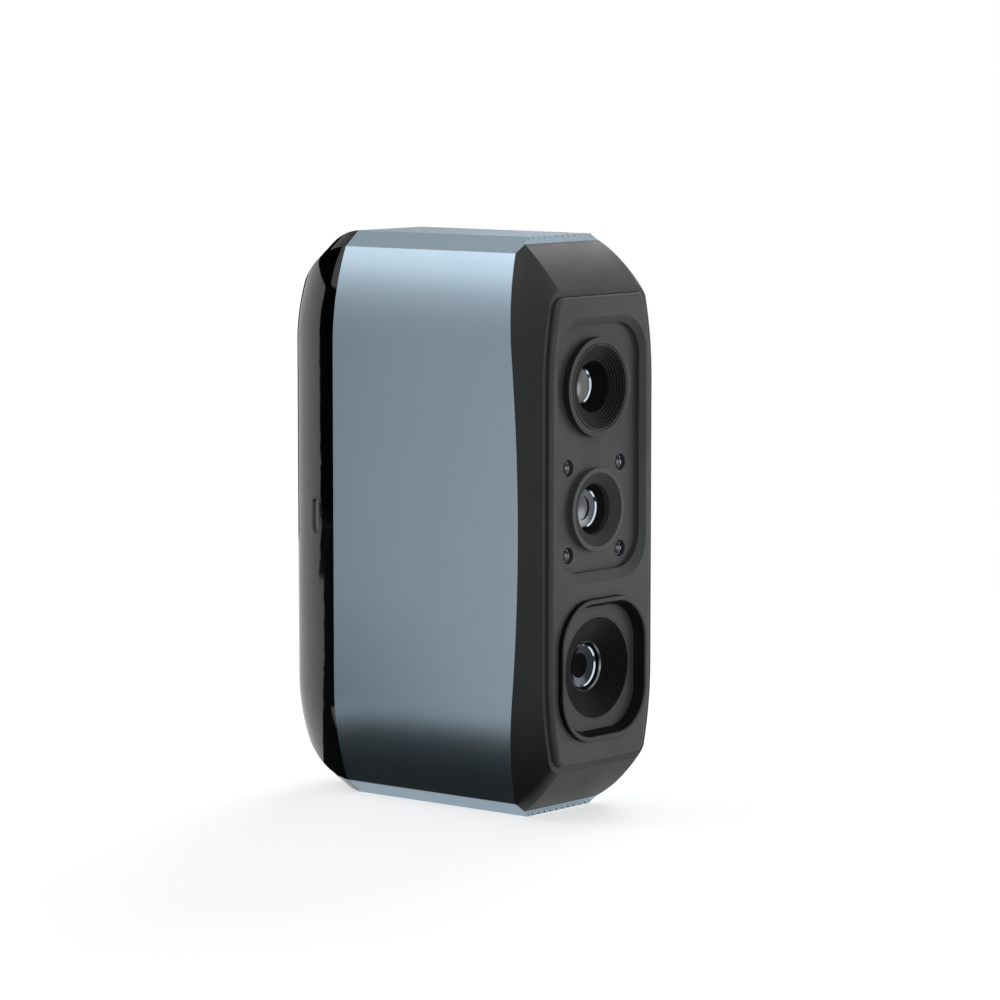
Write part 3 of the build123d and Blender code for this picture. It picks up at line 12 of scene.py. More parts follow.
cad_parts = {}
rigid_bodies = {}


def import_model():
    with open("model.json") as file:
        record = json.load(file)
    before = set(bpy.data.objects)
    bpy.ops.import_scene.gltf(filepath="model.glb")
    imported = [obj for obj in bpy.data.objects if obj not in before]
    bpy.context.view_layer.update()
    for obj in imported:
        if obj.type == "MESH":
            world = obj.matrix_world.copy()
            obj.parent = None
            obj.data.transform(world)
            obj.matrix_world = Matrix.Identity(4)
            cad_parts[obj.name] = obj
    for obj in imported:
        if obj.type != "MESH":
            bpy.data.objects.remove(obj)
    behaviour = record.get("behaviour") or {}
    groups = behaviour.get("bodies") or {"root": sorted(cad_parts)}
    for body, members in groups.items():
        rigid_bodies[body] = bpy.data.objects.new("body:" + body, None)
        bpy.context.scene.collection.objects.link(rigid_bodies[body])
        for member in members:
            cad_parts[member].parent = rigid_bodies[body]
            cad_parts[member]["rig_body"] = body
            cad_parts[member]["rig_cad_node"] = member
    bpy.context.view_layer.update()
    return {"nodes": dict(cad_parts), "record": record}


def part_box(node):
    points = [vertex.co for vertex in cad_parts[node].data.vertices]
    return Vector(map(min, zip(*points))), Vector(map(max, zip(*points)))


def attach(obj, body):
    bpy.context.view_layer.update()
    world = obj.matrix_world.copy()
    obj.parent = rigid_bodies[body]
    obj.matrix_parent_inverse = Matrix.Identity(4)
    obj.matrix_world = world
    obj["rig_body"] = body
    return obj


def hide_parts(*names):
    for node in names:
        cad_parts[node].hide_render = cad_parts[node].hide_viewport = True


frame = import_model()

MM = 0.001
SCANNER = "scanner"
IMAGE_SIDE = 1000
LOG = logging.getLogger("scanner_looks")

Triple = tuple[float, float, float]
Pair = tuple[float, float]
Tree = bpy.types.NodeTree
Node = bpy.types.Node
Socket = bpy.types.NodeSocket
Piece = bpy.types.Object

WHITE = (1.0, 1.0, 1.0, 1.0)
CARD_BLACK = (0.004, 0.004, 0.004, 1.0)
# Radius, in mm, at which the profile of a solid turned piece starts and ends.
ON_AXIS = 0.05
# How near two points of a new mesh are before they are made one, in metres.
MERGE_DISTANCE = 0.0005 * MM
# Least angle of an edge that stays sharp on a turned piece, in degrees.
SMOOTH_ANGLE = 35.0


class Kind(Enum):
    """What a finish is made of, which sets how its shader is wired."""

    MOULDED = "moulded"
    METAL = "metal"
    GLASS = "glass"
    LAMINATE = "laminate"


# Shader nodes ------------------------------------------------------------------------------------


def new_node(
    tree: Tree, kind: str, inputs: dict[str | int, object] | None = None, **options: object
) -> Node:
    """Adds a node to a tree.

    Args:
        tree: The node tree.
        kind: The node's type.
        inputs: Values of its inputs, by name or number.
        options: Attributes to set on it, before its inputs.

    Returns:
        The new node.
    """
    node = tree.nodes.new(kind)
    for key, value in options.items():
        setattr(node, key, value)
    set_inputs(node, inputs or {})
    return node


def set_inputs(node: Node, values: dict[str | int, object]) -> None:
    """Sets a node's inputs, by name or number."""
    for label, value in values.items():
        node.inputs[label].default_value = value


def new_material(name: str) -> tuple[bpy.types.Material, Node]:
    """Starts a material.

    Args:
        name: Its name.

    Returns:
        The material and its Principled shader.
    """
    material = bpy.data.materials.new(name)
    material.use_nodes = True
    nodes = material.node_tree.nodes
    return material, next(node for node in nodes if node.type == "BSDF_PRINCIPLED")


class EffectGroup:
    """One shader node group that several finishes place with their own values."""

    def __init__(self, name: str, inputs: dict[str, float], outputs: tuple[str, ...]) -> None:
        """Opens the group with its sockets.

        Args:
            name: The group's name.
            inputs: Default of each number socket, by name. A Vector socket is always added.
            outputs: Names of the values that the group puts out.
        """
        self.tree = bpy.data.node_groups.new(name, "ShaderNodeTree")
        sockets = self.tree.interface
        sockets.new_socket("Vector", in_out="INPUT", socket_type="NodeSocketVector")
        for label, default in inputs.items():
            socket = sockets.new_socket(label, in_out="INPUT", socket_type="NodeSocketFloat")
            socket.default_value = default
        for label in outputs:
            sockets.new_socket(label, in_out="OUTPUT", socket_type="NodeSocketFloat")
        self.entry = self.tree.nodes.new("NodeGroupInput")
        self.exit = self.tree.nodes.new("NodeGroupOutput")

    def texture(
        self, kind: str, vector: Socket, inputs: dict[str, float], **options: object
    ) -> Node:
        """Adds a texture.

        Args:
            kind: The node's type.
            vector: What it reads.
            inputs: Values of its inputs.
            options: Attributes to set on it.

        Returns:
            The texture node.
        """
        node = new_node(self.tree, kind, inputs, **options)
        self.tree.links.new(vector, node.inputs["Vector"])
        return node

    def math(self, operation: str, first: object, second: object = None) -> Socket:
        """Adds a math node whose operands are sockets or numbers.

        Args:
            operation: The math node's operation.
            first: First operand.
            second: Second operand, if the operation has one.

        Returns:
            The result's socket.
        """
        node = new_node(self.tree, "ShaderNodeMath", operation=operation)
        for index, operand in enumerate((first, second)):
            if isinstance(operand, (int, float)):
                node.inputs[index].default_value = operand
            elif operand is not None:
                self.tree.links.new(operand, node.inputs[index])
        return node.outputs[0]

    def scaled(self) -> Socket:
        """Divides the group's vector by its Size, for a pattern of that size in metres.

        Returns:
            The scaled vector.
        """
        inverse = self.math("DIVIDE", 1.0, self.entry.outputs["Size"])
        scale = new_node(self.tree, "ShaderNodeVectorMath", operation="SCALE")
        self.tree.links.new(self.entry.outputs["Vector"], scale.inputs[0])
        self.tree.links.new(inverse, scale.inputs["Scale"])
        return scale.outputs[0]

    def about_axis(self) -> tuple[Socket, Socket]:
        """Measures from the axis along Y that lies at the group's Centre Height.

        Returns:
            The distance from the axis, and the place along Y.
        """
        apart = new_node(self.tree, "ShaderNodeSeparateXYZ")
        self.tree.links.new(self.entry.outputs["Vector"], apart.inputs[0])
        across = apart.outputs["X"]
        up = self.math("SUBTRACT", apart.outputs["Z"], self.entry.outputs["Centre Height"])
        squares = (self.math("MULTIPLY", side, side) for side in (across, up))
        return self.math("SQRT", self.math("ADD", *squares)), apart.outputs["Y"]

    def put(self, label: str, socket: Socket) -> None:
        """Sends a value to one of the group's outputs."""
        self.tree.links.new(socket, self.exit.inputs[label])


def grain_group() -> Tree:
    """Fine grain of a moulded or blasted surface: its height, and a shade that varies with it.

    Returns:
        The group.
    """
    pit_share, shade_gain, shade_base = 0.5, 0.24, 0.82
    group = EffectGroup("surface_grain", {"Size": 0.3 * MM, "Depth": 1.0}, ("Height", "Shade"))
    vector = group.scaled()
    fine = group.texture(
        "ShaderNodeTexNoise", vector, {"Scale": 1.0, "Detail": 3.0, "Roughness": 0.6},
        noise_dimensions="3D",
    )
    pits = group.texture("ShaderNodeTexVoronoi", vector, {"Scale": 0.8}, feature="F1")
    pitting = group.math("MULTIPLY", pits.outputs["Distance"], pit_share)
    rough = group.math("ADD", fine.outputs[0], pitting)
    group.put("Height", group.math("MULTIPLY", rough, group.entry.outputs["Depth"]))
    swing = group.math("MULTIPLY", rough, shade_gain)
    group.put("Shade", group.math("ADD", swing, shade_base))
    return group.tree


def handling_group() -> Tree:
    """Slow unevenness of a surface that is handled: a mask from 0, clean, to 1, dulled.

    Returns:
        The group.
    """
    group = EffectGroup("handling_marks", {"Size": 20 * MM, "Amount": 0.5}, ("Mask",))
    slow = group.texture(
        "ShaderNodeTexNoise", group.scaled(), {"Scale": 1.0, "Detail": 5.0, "Distortion": 0.6},
        noise_dimensions="3D",
    )
    ramp = new_node(
        group.tree, "ShaderNodeMapRange", {"From Min": 0.35, "From Max": 0.7},
        interpolation_type="SMOOTHSTEP",
    )
    group.tree.links.new(slow.outputs[0], ramp.inputs["Value"])
    group.put("Mask", group.math("MULTIPLY", ramp.outputs[0], group.entry.outputs["Amount"]))
    return group.tree


def turning_group() -> Tree:
    """Concentric marks of a lathe tool round an axis along Y, as a height from 0 to 1.

    Returns:
        The group.
    """
    group = EffectGroup("turning_marks", {"Centre Height": 0.0, "Size": 0.2 * MM}, ("Height",))
    radius, _along = group.about_axis()
    turns = group.math("DIVIDE", radius, group.entry.outputs["Size"])
    wave = group.math("SINE", group.math("MULTIPLY", turns, 2 * math.pi))
    group.put("Height", group.math("ADD", group.math("MULTIPLY", wave, 0.5), 0.5))
    return group.tree


def mouth_group() -> Tree:
    """The inside of a mouth about an axis along Y, where finishes paint shade: a mask of a radius
    and of a range ahead.

    Returns:
        The group.
    """
    group = EffectGroup(
        "mouth_painted_shade",
        {"Centre Height": 0.0, "Radius": 8 * MM, "From": 0.0, "To": 1.0},
        ("Mask", "Face"),
    )
    radius, along = group.about_axis()
    ahead = group.math("MULTIPLY", along, -1.0)
    mask = group.math("LESS_THAN", radius, group.entry.outputs["Radius"])
    for test, label in (("GREATER_THAN", "From"), ("LESS_THAN", "To")):
        mask = group.math("MULTIPLY", mask, group.math(test, ahead, group.entry.outputs[label]))
    group.put("Mask", mask)
    group.put("Face", group.math("SUBTRACT", 1.0, mask))
    return group.tree


def tracks_group() -> Tree:
    """Copper tracks and pads under the solder mask of a board, as a mask.

    Returns:
        The group.
    """
    tracks_per_cell, gap_share = 5.0, 0.62
    group = EffectGroup("board_tracks", {"Size": 2 * MM}, ("Mask",))
    cells = group.texture(
        "ShaderNodeTexVoronoi", group.scaled(), {"Scale": 1.0, "Randomness": 0.7},
        feature="F1", distance="MANHATTAN",
    )
    lines = group.math("MULTIPLY", cells.outputs["Distance"], tracks_per_cell)
    group.put("Mask", group.math("GREATER_THAN", group.math("FRACT", lines), gap_share))
    return group.tree


@dataclass(frozen=True)
class Effects:
    """The shared effect groups, built once."""

    grain: Tree
    handling: Tree
    turning: Tree
    mouth: Tree
    tracks: Tree

    @classmethod
    def build(cls) -> "Effects":
        """Builds every group.

        Returns:
            The groups, ready to place in materials.
        """
        return cls(
            grain_group(), handling_group(), turning_group(), mouth_group(), tracks_group()
        )


@dataclass(frozen=True)
class Wiring:
    """One material's nodes while they are joined up."""

    tree: Tree
    shader: Node
    effects: Effects
    place: Node

    def join(self, output: Socket, target: Socket) -> None:
        """Links an output to an input."""
        self.tree.links.new(output, target)

    def placed(self, group: Tree, values: dict[str, float]) -> Node:
        """Places an effect group on Object coordinates with its own values.

        Args:
            group: The effect group.
            values: Values of the group's inputs.

        Returns:
            The group node.
        """
        node = new_node(self.tree, "ShaderNodeGroup", values, node_tree=group)
        self.join(self.place.outputs["Object"], node.inputs["Vector"])
        return node

    def math(self, operation: str, socket: Socket, number: float) -> Socket:
        """Adds a math node.

        Args:
            operation: Its operation.
            socket: The first operand.
            number: The second operand.

        Returns:
            The result's socket.
        """
        node = new_node(self.tree, "ShaderNodeMath", {1: number}, operation=operation)
        self.join(socket, node.inputs[0])
        return node.outputs[0]

    def blended(self, mask: Socket, first: Triple, second: Triple) -> Socket:
        """Goes from one colour to another by a mask.

        Args:
            mask: The mask.
            first: The colour where it is 0.
            second: The colour where it is 1.

        Returns:
            The colour's socket.
        """
        colours = {"A": (*first, 1.0), "B": (*second, 1.0)}
        node = new_node(self.tree, "ShaderNodeMix", colours, data_type="RGBA")
        self.join(mask, node.inputs["Factor"])
        return node.outputs["Result"]

    def bumped(
        self, height: Socket, depth: float, strength: float, normal: Socket | None
    ) -> Socket:
        """Lays a relief over a normal.

        Args:
            height: The relief's height, from 0 to 1.
            depth: How deep that is, in mm.
            strength: How much of it shows.
            normal: The normal under it, or none for the surface's own.

        Returns:
            The new normal's socket.
        """
        values = {"Distance": depth * MM, "Strength": strength}
        node = new_node(self.tree, "ShaderNodeBump", values)
        self.join(height, node.inputs["Height"])
        if normal:
            self.join(normal, node.inputs["Normal"])
        return node.outputs["Normal"]


# Finishes ----------------------------------------------------------------------------------------


@dataclass(frozen=True)
class Finish:
    """A surface finish: its colours in linear light, its gloss, and its grain and places in mm.

    The mouth values say where the surface takes its inside colour, a painted shade: within a
    radius of the axis at turned_at, from one distance ahead of the origin to another.
    """

    name: str
    slot: str
    kind: Kind
    colour: Triple
    roughness: float
    dulling: float = 0.08
    grain_size: float = 0.25
    grain_depth: float = 0.0
    grain_strength: float = 0.5
    shade_swing: float = 0.5
    handling_size: float = 18.0
    coat: float = 0.0
    specular: float = 0.5
    ior: float = 1.5
    turned_at: float | None = None
    turned_pitch: float = 0.25
    turned_depth: float = 0.0
    turned_strength: float = 0.6
    mouth_radius: float = 0.0
    mouth_from: float = 0.0
    mouth_to: float = 1000.0
    # Darker colour that the inside of the mouth takes: painted shade.
    inside: Triple | None = None
    track_size: float = 2.2
    second: Triple | None = None
    facing_blend: float = 0.35
    # Colour towards a grazing view, by the Layer Weight's Facing: a painted sheen.
    grazing_painted_sheen: Triple | None = None

    def made(self, effects: Effects) -> bpy.types.Material:
        """The finish's material, built the first time that it is asked for.

        Args:
            effects: The shared effect groups.

        Returns:
            The material.
        """
        return bpy.data.materials.get(self.name) or self.material(effects)

    def material(self, effects: Effects) -> bpy.types.Material:
        """Builds the finish's procedural material.

        Args:
            effects: The shared effect groups.

        Returns:
            The material.
        """
        material, shader = new_material(self.name)
        material.diffuse_color = (*self.colour, 1.0)
        set_inputs(shader, {
            "IOR": self.ior,
            "Specular IOR Level": self.specular,
            "Coat Weight": self.coat,
            "Coat Roughness": self.roughness,
            "Metallic": float(self.kind is Kind.METAL),
            "Transmission Weight": float(self.kind is Kind.GLASS),
        })
        tree = material.node_tree
        wiring = Wiring(tree, shader, effects, tree.nodes.new("ShaderNodeTexCoord"))
        grain = wiring.placed(effects.grain, {"Size": self.grain_size * MM})
        marks = wiring.placed(
            effects.handling, {"Size": self.handling_size * MM, "Amount": self.dulling}
        )
        self.wire_colour(wiring, grain)
        roughness = wiring.math("ADD", marks.outputs["Mask"], self.roughness)
        wiring.join(roughness, shader.inputs["Roughness"])
        self.wire_relief(wiring, grain)
        return material

    def wire_colour(self, wiring: Wiring, grain: Node) -> None:
        """Gives the shader its colour, which varies slightly with the grain.

        Args:
            wiring: The material's nodes.
            grain: The placed grain group.
        """
        mix = new_node(
            wiring.tree, "ShaderNodeMix", {"Factor": self.shade_swing, "A": (*self.colour, 1.0)},
            data_type="RGBA", blend_type="MULTIPLY",
        )
        wiring.join(grain.outputs["Shade"], mix.inputs["B"])
        if self.second:
            tracks = wiring.placed(wiring.effects.tracks, {"Size": self.track_size * MM})
            colour = wiring.blended(tracks.outputs["Mask"], self.colour, self.second)
            wiring.join(colour, mix.inputs["A"])
        if self.inside:
            # Painted shade: the inside of the mouth takes the darker inside colour, and only the
            # face keeps the coat's sheen.
            mouth = wiring.placed(wiring.effects.mouth, {
                "Centre Height": self.turned_at or 0.0,
                "Radius": self.mouth_radius * MM,
                "From": self.mouth_from * MM,
                "To": self.mouth_to * MM,
            })
            sheen = wiring.math("MULTIPLY", mouth.outputs["Face"], self.coat)
            wiring.join(sheen, wiring.shader.inputs["Coat Weight"])
            colour = wiring.blended(mouth.outputs["Mask"], self.colour, self.inside)
            wiring.join(colour, mix.inputs["A"])
        if self.grazing_painted_sheen:
            # Painted sheen: the colour grows lighter towards a grazing view.
            facing = new_node(wiring.tree, "ShaderNodeLayerWeight", {"Blend": self.facing_blend})
            colour = wiring.blended(facing.outputs["Facing"], self.colour, self.grazing_painted_sheen)
            wiring.join(colour, mix.inputs["A"])
        wiring.join(mix.outputs["Result"], wiring.shader.inputs["Base Color"])

    def wire_relief(self, wiring: Wiring, grain: Node) -> None:
        """Gives the shader its fine relief: grain, and tool marks on a turned piece.

        Args:
            wiring: The material's nodes.
            grain: The placed grain group.
        """
        normal = None
        if self.grain_depth:
            normal = wiring.bumped(
                grain.outputs["Height"], self.grain_depth, self.grain_strength, normal
            )
        if self.turned_at is not None:
            marks = wiring.placed(
                wiring.effects.turning,
                {"Centre Height": self.turned_at, "Size": self.turned_pitch * MM},
            )
            normal = wiring.bumped(
                marks.outputs["Height"], self.turned_depth, self.turned_strength, normal
            )
        if normal:
            wiring.join(normal, wiring.shader.inputs["Normal"])


ANODISED = Finish(
    "satin_blue_anodising", "anodised_sleeve", Kind.METAL, (0.3, 0.385, 0.452), 0.34,
    grain_size=0.12, grain_depth=0.004, shade_swing=0.2, dulling=0.015,
)
CAP_BLACK = Finish(
    "matte_black_moulding", "cap_black", Kind.MOULDED, (0.007, 0.0085, 0.0085), 0.5,
    grain_size=0.16, grain_depth=0.01, specular=0.44,
)
PANEL_BLACK = Finish(
    "soft_black_coating", "panel_black", Kind.MOULDED, (0.054, 0.057, 0.057), 0.55,
    grain_size=0.14, grain_depth=0.01, specular=0.45,
)
COVER_GLOSS = Finish(
    "piano_black", "cover_gloss", Kind.MOULDED, (0.0015, 0.0018, 0.0018), 0.05,
    shade_swing=0.2, dulling=0.02, specular=0.4,
)
KEY_GLOSS = Finish(
    "piano_black_key", "key_gloss", Kind.MOULDED, (0.004, 0.004, 0.0045), 0.1,
    shade_swing=0.2, dulling=0.03,
)
GLASS = Finish(
    "coated_lens_glass", "lens_glass", Kind.GLASS, (0.92, 0.94, 0.97), 0.0,
    dulling=0.01, shade_swing=0.05, handling_size=3.0,
)
LAMP_CLEAR = Finish(
    "clear_lamp_epoxy", "lamp_clear", Kind.GLASS, (0.9, 0.92, 0.94), 0.05,
    dulling=0.03, shade_swing=0.1, ior=1.45,
)
RIM_STEEL = Finish(
    "bright_turned_ring", "rim_steel", Kind.METAL, (0.16, 0.165, 0.17), 0.2,
    dulling=0.05, shade_swing=0.1,
)
HOLDER_BLACK = Finish(
    "glass_filled_black", "holder_black", Kind.MOULDED, (0.02, 0.02, 0.021), 0.5,
    grain_size=0.2, grain_depth=0.01,
)
BOARD_GREEN = Finish(
    "green_laminate", "board_green", Kind.LAMINATE, (0.012, 0.11, 0.05), 0.35,
    second=(0.03, 0.2, 0.09), grain_size=0.3, grain_depth=0.004,
)
CHIP_BLACK = Finish(
    "chip_moulding", "chip_black", Kind.MOULDED, (0.03, 0.03, 0.032), 0.45,
    grain_size=0.1, grain_depth=0.004,
)
LAMP_YELLOW = Finish(
    "phosphor", "lamp_yellow", Kind.MOULDED, (0.75, 0.6, 0.15), 0.6,
    grain_size=0.15, grain_depth=0.01,
)
BENCH_METAL = Finish(
    "milled_bench", "bench_metal", Kind.METAL, (0.7, 0.71, 0.72), 0.32,
    grain_size=0.3, grain_depth=0.006,
)
SCREW_STEEL = Finish(
    "zinc_plating", "screw_steel", Kind.METAL, (0.58, 0.57, 0.55), 0.3,
    grain_size=0.2, grain_depth=0.004,
)
SHIELD_TIN = Finish(
    "tinned_sheet", "shield_tin", Kind.METAL, (0.72, 0.72, 0.71), 0.28,
    grain_size=0.4, grain_depth=0.003,
)
INSERT_STEEL = Finish(
    "turned_steel", "insert_steel", Kind.METAL, (0.6, 0.6, 0.59), 0.25,
    grain_size=0.2, grain_depth=0.003,
)
SEAL_BLACK = Finish(
    "adhesive_foam", "seal_black", Kind.MOULDED, (0.015, 0.015, 0.015), 0.85,
    grain_size=0.2, grain_depth=0.05,
)
# The coated faces grow lighter towards a grazing view: a painted sheen over their metal.
UPPER_COATING = Finish(
    "upper_coated_face", "lens_glass", Kind.METAL, (0.13, 0.135, 0.135), 0.22,
    dulling=0.03, shade_swing=0.05, handling_size=3.0, grazing_painted_sheen=(0.24, 0.25, 0.26),
)
LOWER_COATING = Finish(
    "lower_coated_face", "lens_glass", Kind.METAL, (0.09, 0.092, 0.094), 0.24,
    dulling=0.03, shade_swing=0.05, handling_size=3.0, grazing_painted_sheen=(0.22, 0.25, 0.28),
)
PROJECTOR_COATING = Finish(
    "projector_coated_face", "lens_glass", Kind.METAL, (0.015, 0.016, 0.018), 0.15,
    dulling=0.03, shade_swing=0.05, handling_size=3.0, grazing_painted_sheen=(0.07, 0.08, 0.1),
)
LENS_EDGE = Finish(
    "polished_lens_edge", "lens_glass", Kind.METAL, (0.62, 0.72, 0.82), 0.12,
    dulling=0.03, shade_swing=0.05,
)
# Pale colour painted on the top vent holes' walls as light falling into them.
TOP_HOLE_PAINTED_LIGHT = Finish(
    "top_hole_painted_light", "anodised_sleeve", Kind.MOULDED, (0.8, 0.83, 0.86), 0.4,
    dulling=0.03, shade_swing=0.1,
)
# Black of the projector's iris, also painted as shade on the bottom vent holes' walls.
IRIS_AND_SHADE_BLACK = Finish(
    "iris_and_vent_shade_black", "lens_black", Kind.MOULDED, (0.002, 0.002, 0.002), 0.6,
    specular=0.05, grain_size=0.1, grain_depth=0.002,
)
BARREL_BLACK = Finish(
    "barrel_black", "lens_black", Kind.MOULDED, (0.006, 0.0065, 0.0065), 0.6,
    specular=0.08, grain_size=0.1, grain_depth=0.004,
)
DIODE_CHIP = Finish(
    "diode_chip", "lamp_clear", Kind.MOULDED, (0.24, 0.25, 0.25), 0.3,
    dulling=0.03, shade_swing=0.2,
)
# The hood's walls, from mouth_from to mouth_to ahead of the origin, take the inside colour as
# painted shade, near black; the coat's sheen stays on its front face.
HOOD_BLACK = Finish(
    "hood_black", "lens_black", Kind.MOULDED, (0.032, 0.035, 0.035), 0.5,
    specular=0.06, coat=0.7, grain_size=0.14, grain_depth=0.01,
    mouth_radius=1000.0, mouth_from=32.55, mouth_to=34.75, inside=(0.006, 0.0063, 0.0063),
)


@dataclass(frozen=True)
class LensTurning:
    """A black anodised turning about a lens, with lathe marks and a blacker inside to its mouth,
    which is painted shade.

    The mouth's radius is in mm; face and inside say how light those surfaces are, the inside's
    darkness being painted shade.
    """

    name: str
    mouth: float
    face: float
    inside: float
    coolness: float = 1.05

    def finish(self, node: str) -> Finish:
        """The turning's finish, centred on a CAD node.

        Args:
            node: The CAD node.

        Returns:
            The finish.
        """
        return Finish(
            self.name, "lens_black", Kind.MOULDED, self.grey(self.face), 0.5,
            specular=0.1, coat=0.5, grain_size=0.12, grain_depth=0.006,
            turned_at=axis_height(node), turned_pitch=0.28, turned_depth=0.01,
            mouth_radius=self.mouth, inside=self.grey(self.inside),
        )

    def grey(self, level: float) -> Triple:
        """A slightly cool grey."""
        return (level, level * self.coolness, level * self.coolness)


# The inside levels are painted shade, darker than the faces, deepest in the baffle's throat.
LENS_TURNINGS = {
    "upper_lens_bezel": LensTurning("upper_turned_black", mouth=8.55, face=0.018, inside=0.016),
    "lower_lens_bezel": LensTurning("lower_turned_black", mouth=7.65, face=0.075, inside=0.062),
    "projector_baffle": LensTurning("baffle_black", mouth=10.5, face=0.05, inside=0.008),
}
SLOT_FINISHES = (
    ANODISED, CAP_BLACK, PANEL_BLACK, COVER_GLOSS, KEY_GLOSS, GLASS, LAMP_CLEAR, RIM_STEEL,
    HOLDER_BLACK, BOARD_GREEN, CHIP_BLACK, LAMP_YELLOW, BENCH_METAL, SCREW_STEEL, SHIELD_TIN,
    INSERT_STEEL, SEAL_BLACK, BARREL_BLACK,
)


# Modelling helpers -------------------------------------------------------------------------------


def axis_height(node: str) -> float:
    """The height of a CAD node's middle, in metres."""
    low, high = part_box(node)
    return (low.z + high.z) / 2


def deselect_all() -> None:
    """Deselects every object."""
    if bpy.context.object and bpy.context.object.mode != "OBJECT":
        bpy.ops.object.mode_set(mode="OBJECT")
    bpy.ops.object.select_all(action="DESELECT")


def activate(piece: Piece) -> None:
    """Makes a piece the only selected and active object.

    Args:
        piece: The piece.
    """
    deselect_all()
    piece.select_set(True)
    bpy.context.view_layer.objects.active = piece


def dress(piece: Piece, material: bpy.types.Material) -> None:
    """Gives a piece one material on all its faces.

    Args:
        piece: The piece.
        material: The material.
    """
    piece.data.materials.clear()
    piece.data.materials.append(material)
    for polygon in piece.data.polygons:
        polygon.material_index = 0


def mount(piece: Piece, finish: Finish, effects: Effects) -> None:
    """Dresses a new piece and makes it ride on the scanner.

    Args:
        piece: The piece.
        finish: Its finish.
        effects: The shared effect groups.
    """
    dress(piece, finish.made(effects))
    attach(piece, SCANNER)
    LOG.info("made %s in %s", piece.name, finish.name)


def close_mesh(hole_sides: int = 0) -> None:
    """Closes the mesh in edit mode: merges its doubles and turns its faces outwards.

    Args:
        hole_sides: Sides of the holes to fill, or 0 to fill none.
    """
    bpy.ops.mesh.select_all(action="SELECT")
    bpy.ops.mesh.remove_doubles(threshold=MERGE_DISTANCE)
    if hole_sides:
        bpy.ops.mesh.fill_holes(sides=hole_sides)
    bpy.ops.mesh.normals_make_consistent(inside=False)
    bpy.ops.object.mode_set(mode="OBJECT")


def add_circle(name: str, sides: int, radius: float, place: Triple, filled: bool) -> Piece:
    """Adds a circle that stands square to Y.

    Args:
        name: The piece's name.
        sides: Sides of the circle.
        radius: Its radius, in metres.
        place: Its centre, in metres.
        filled: Whether it has a face.

    Returns:
        The piece, whose place is in its mesh.
    """
    deselect_all()
    bpy.ops.mesh.primitive_circle_add(
        vertices=sides, radius=radius, fill_type="NGON" if filled else "NOTHING",
        location=place, rotation=(math.pi / 2, 0.0, 0.0),
    )
    piece = bpy.context.object
    piece.name = piece.data.name = name
    bpy.ops.object.transform_apply(location=True, rotation=True, scale=True)
    return piece


def turned(
    name: str, height: float, profile: list[Pair], sides: int = 64, across: float = 0.0
) -> Piece:
    """Turns a piece about an axis along Y, from a profile that ends on the axis or is a ring.

    Args:
        name: The piece's name.
        height: Height of the axis, in metres.
        profile: Distance ahead of the origin and radius of each point, in mm.
        sides: Sides of the turning.
        across: Place of the axis along X, in metres.

    Returns:
        The piece.
    """
    front, radius = profile[0]
    solid = radius <= ON_AXIS
    piece = add_circle(name, sides, radius * MM, (across, -front * MM, height), solid)
    bpy.ops.object.mode_set(mode="EDIT")
    bpy.ops.mesh.select_all(action="SELECT")
    if solid:
        bpy.ops.mesh.delete(type="ONLY_FACE")
        bpy.ops.mesh.select_all(action="SELECT")
        bpy.ops.mesh.edge_face_add()
    for (front, radius), (ahead, wide) in zip(profile, profile[1:]):
        bpy.ops.mesh.extrude_region_move(
            TRANSFORM_OT_translate={"value": (0.0, (front - ahead) * MM, 0.0)}
        )
        bpy.ops.transform.resize(
            value=(wide / radius, 1.0, wide / radius),
            center_override=(across, -ahead * MM, height),
        )
    close_mesh()
    bpy.ops.object.shade_smooth_by_angle(angle=math.radians(SMOOTH_ANGLE))
    return piece


def bowl(rim: float, inner: float, outer: float, depth: float, rings: int) -> list[Pair]:
    """Profile points of a round hollow, from near its middle out to its rim, in mm.

    Args:
        rim: Distance of the rim ahead of the origin.
        inner: Radius at which the points start.
        outer: Radius of the rim.
        depth: How deep the middle lies behind the rim.
        rings: Number of rings.

    Returns:
        The points.
    """
    radii = [inner + (outer - inner) * ring / rings for ring in range(rings + 1)]
    return [(rim - depth * (1 - (radius / outer) ** 2), radius) for radius in radii]


@dataclass(frozen=True)
class Softening:
    """How a CAD node's sharp edges are rounded off, in mm and degrees."""

    width: float
    angle: float
    segments: int = 2
    merge_distance: float = 0.001
    flat_angle: float = 0.2
    face_weight: int = 100

    def copy_of(self, node: str, name: str) -> Piece:
        """Makes a copy of a CAD node with rounded edges, which stands in for the node.

        Args:
            node: The CAD node.
            name: The new piece's name.

        Returns:
            The piece.
        """
        activate(frame["nodes"][node])
        bpy.ops.object.duplicate()
        piece = bpy.context.object
        piece.name = piece.data.name = name
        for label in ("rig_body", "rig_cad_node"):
            if label in piece:
                del piece[label]
        piece.parent = None
        piece.matrix_world = Matrix.Identity(4)
        bpy.ops.object.mode_set(mode="EDIT")
        bpy.ops.mesh.select_all(action="SELECT")
        bpy.ops.mesh.remove_doubles(threshold=self.merge_distance * MM)
        bpy.ops.mesh.dissolve_limited(angle_limit=math.radians(self.flat_angle))
        bpy.ops.object.mode_set(mode="OBJECT")
        angle = math.radians(self.angle)
        bevel = piece.modifiers.new("rounded_edges", "BEVEL")
        bevel.width = self.width * MM
        bevel.segments = self.segments
        bevel.limit_method = "ANGLE"
        bevel.angle_limit = angle
        bpy.ops.object.modifier_apply(modifier=bevel.name)
        bpy.ops.object.shade_smooth_by_angle(angle=angle)
        flat = piece.modifiers.new("flat_faces", "WEIGHTED_NORMAL")
        flat.weight = self.face_weight
        flat.keep_sharp = True
        bpy.ops.object.modifier_apply(modifier=flat.name)
        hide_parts(node)
        return piece


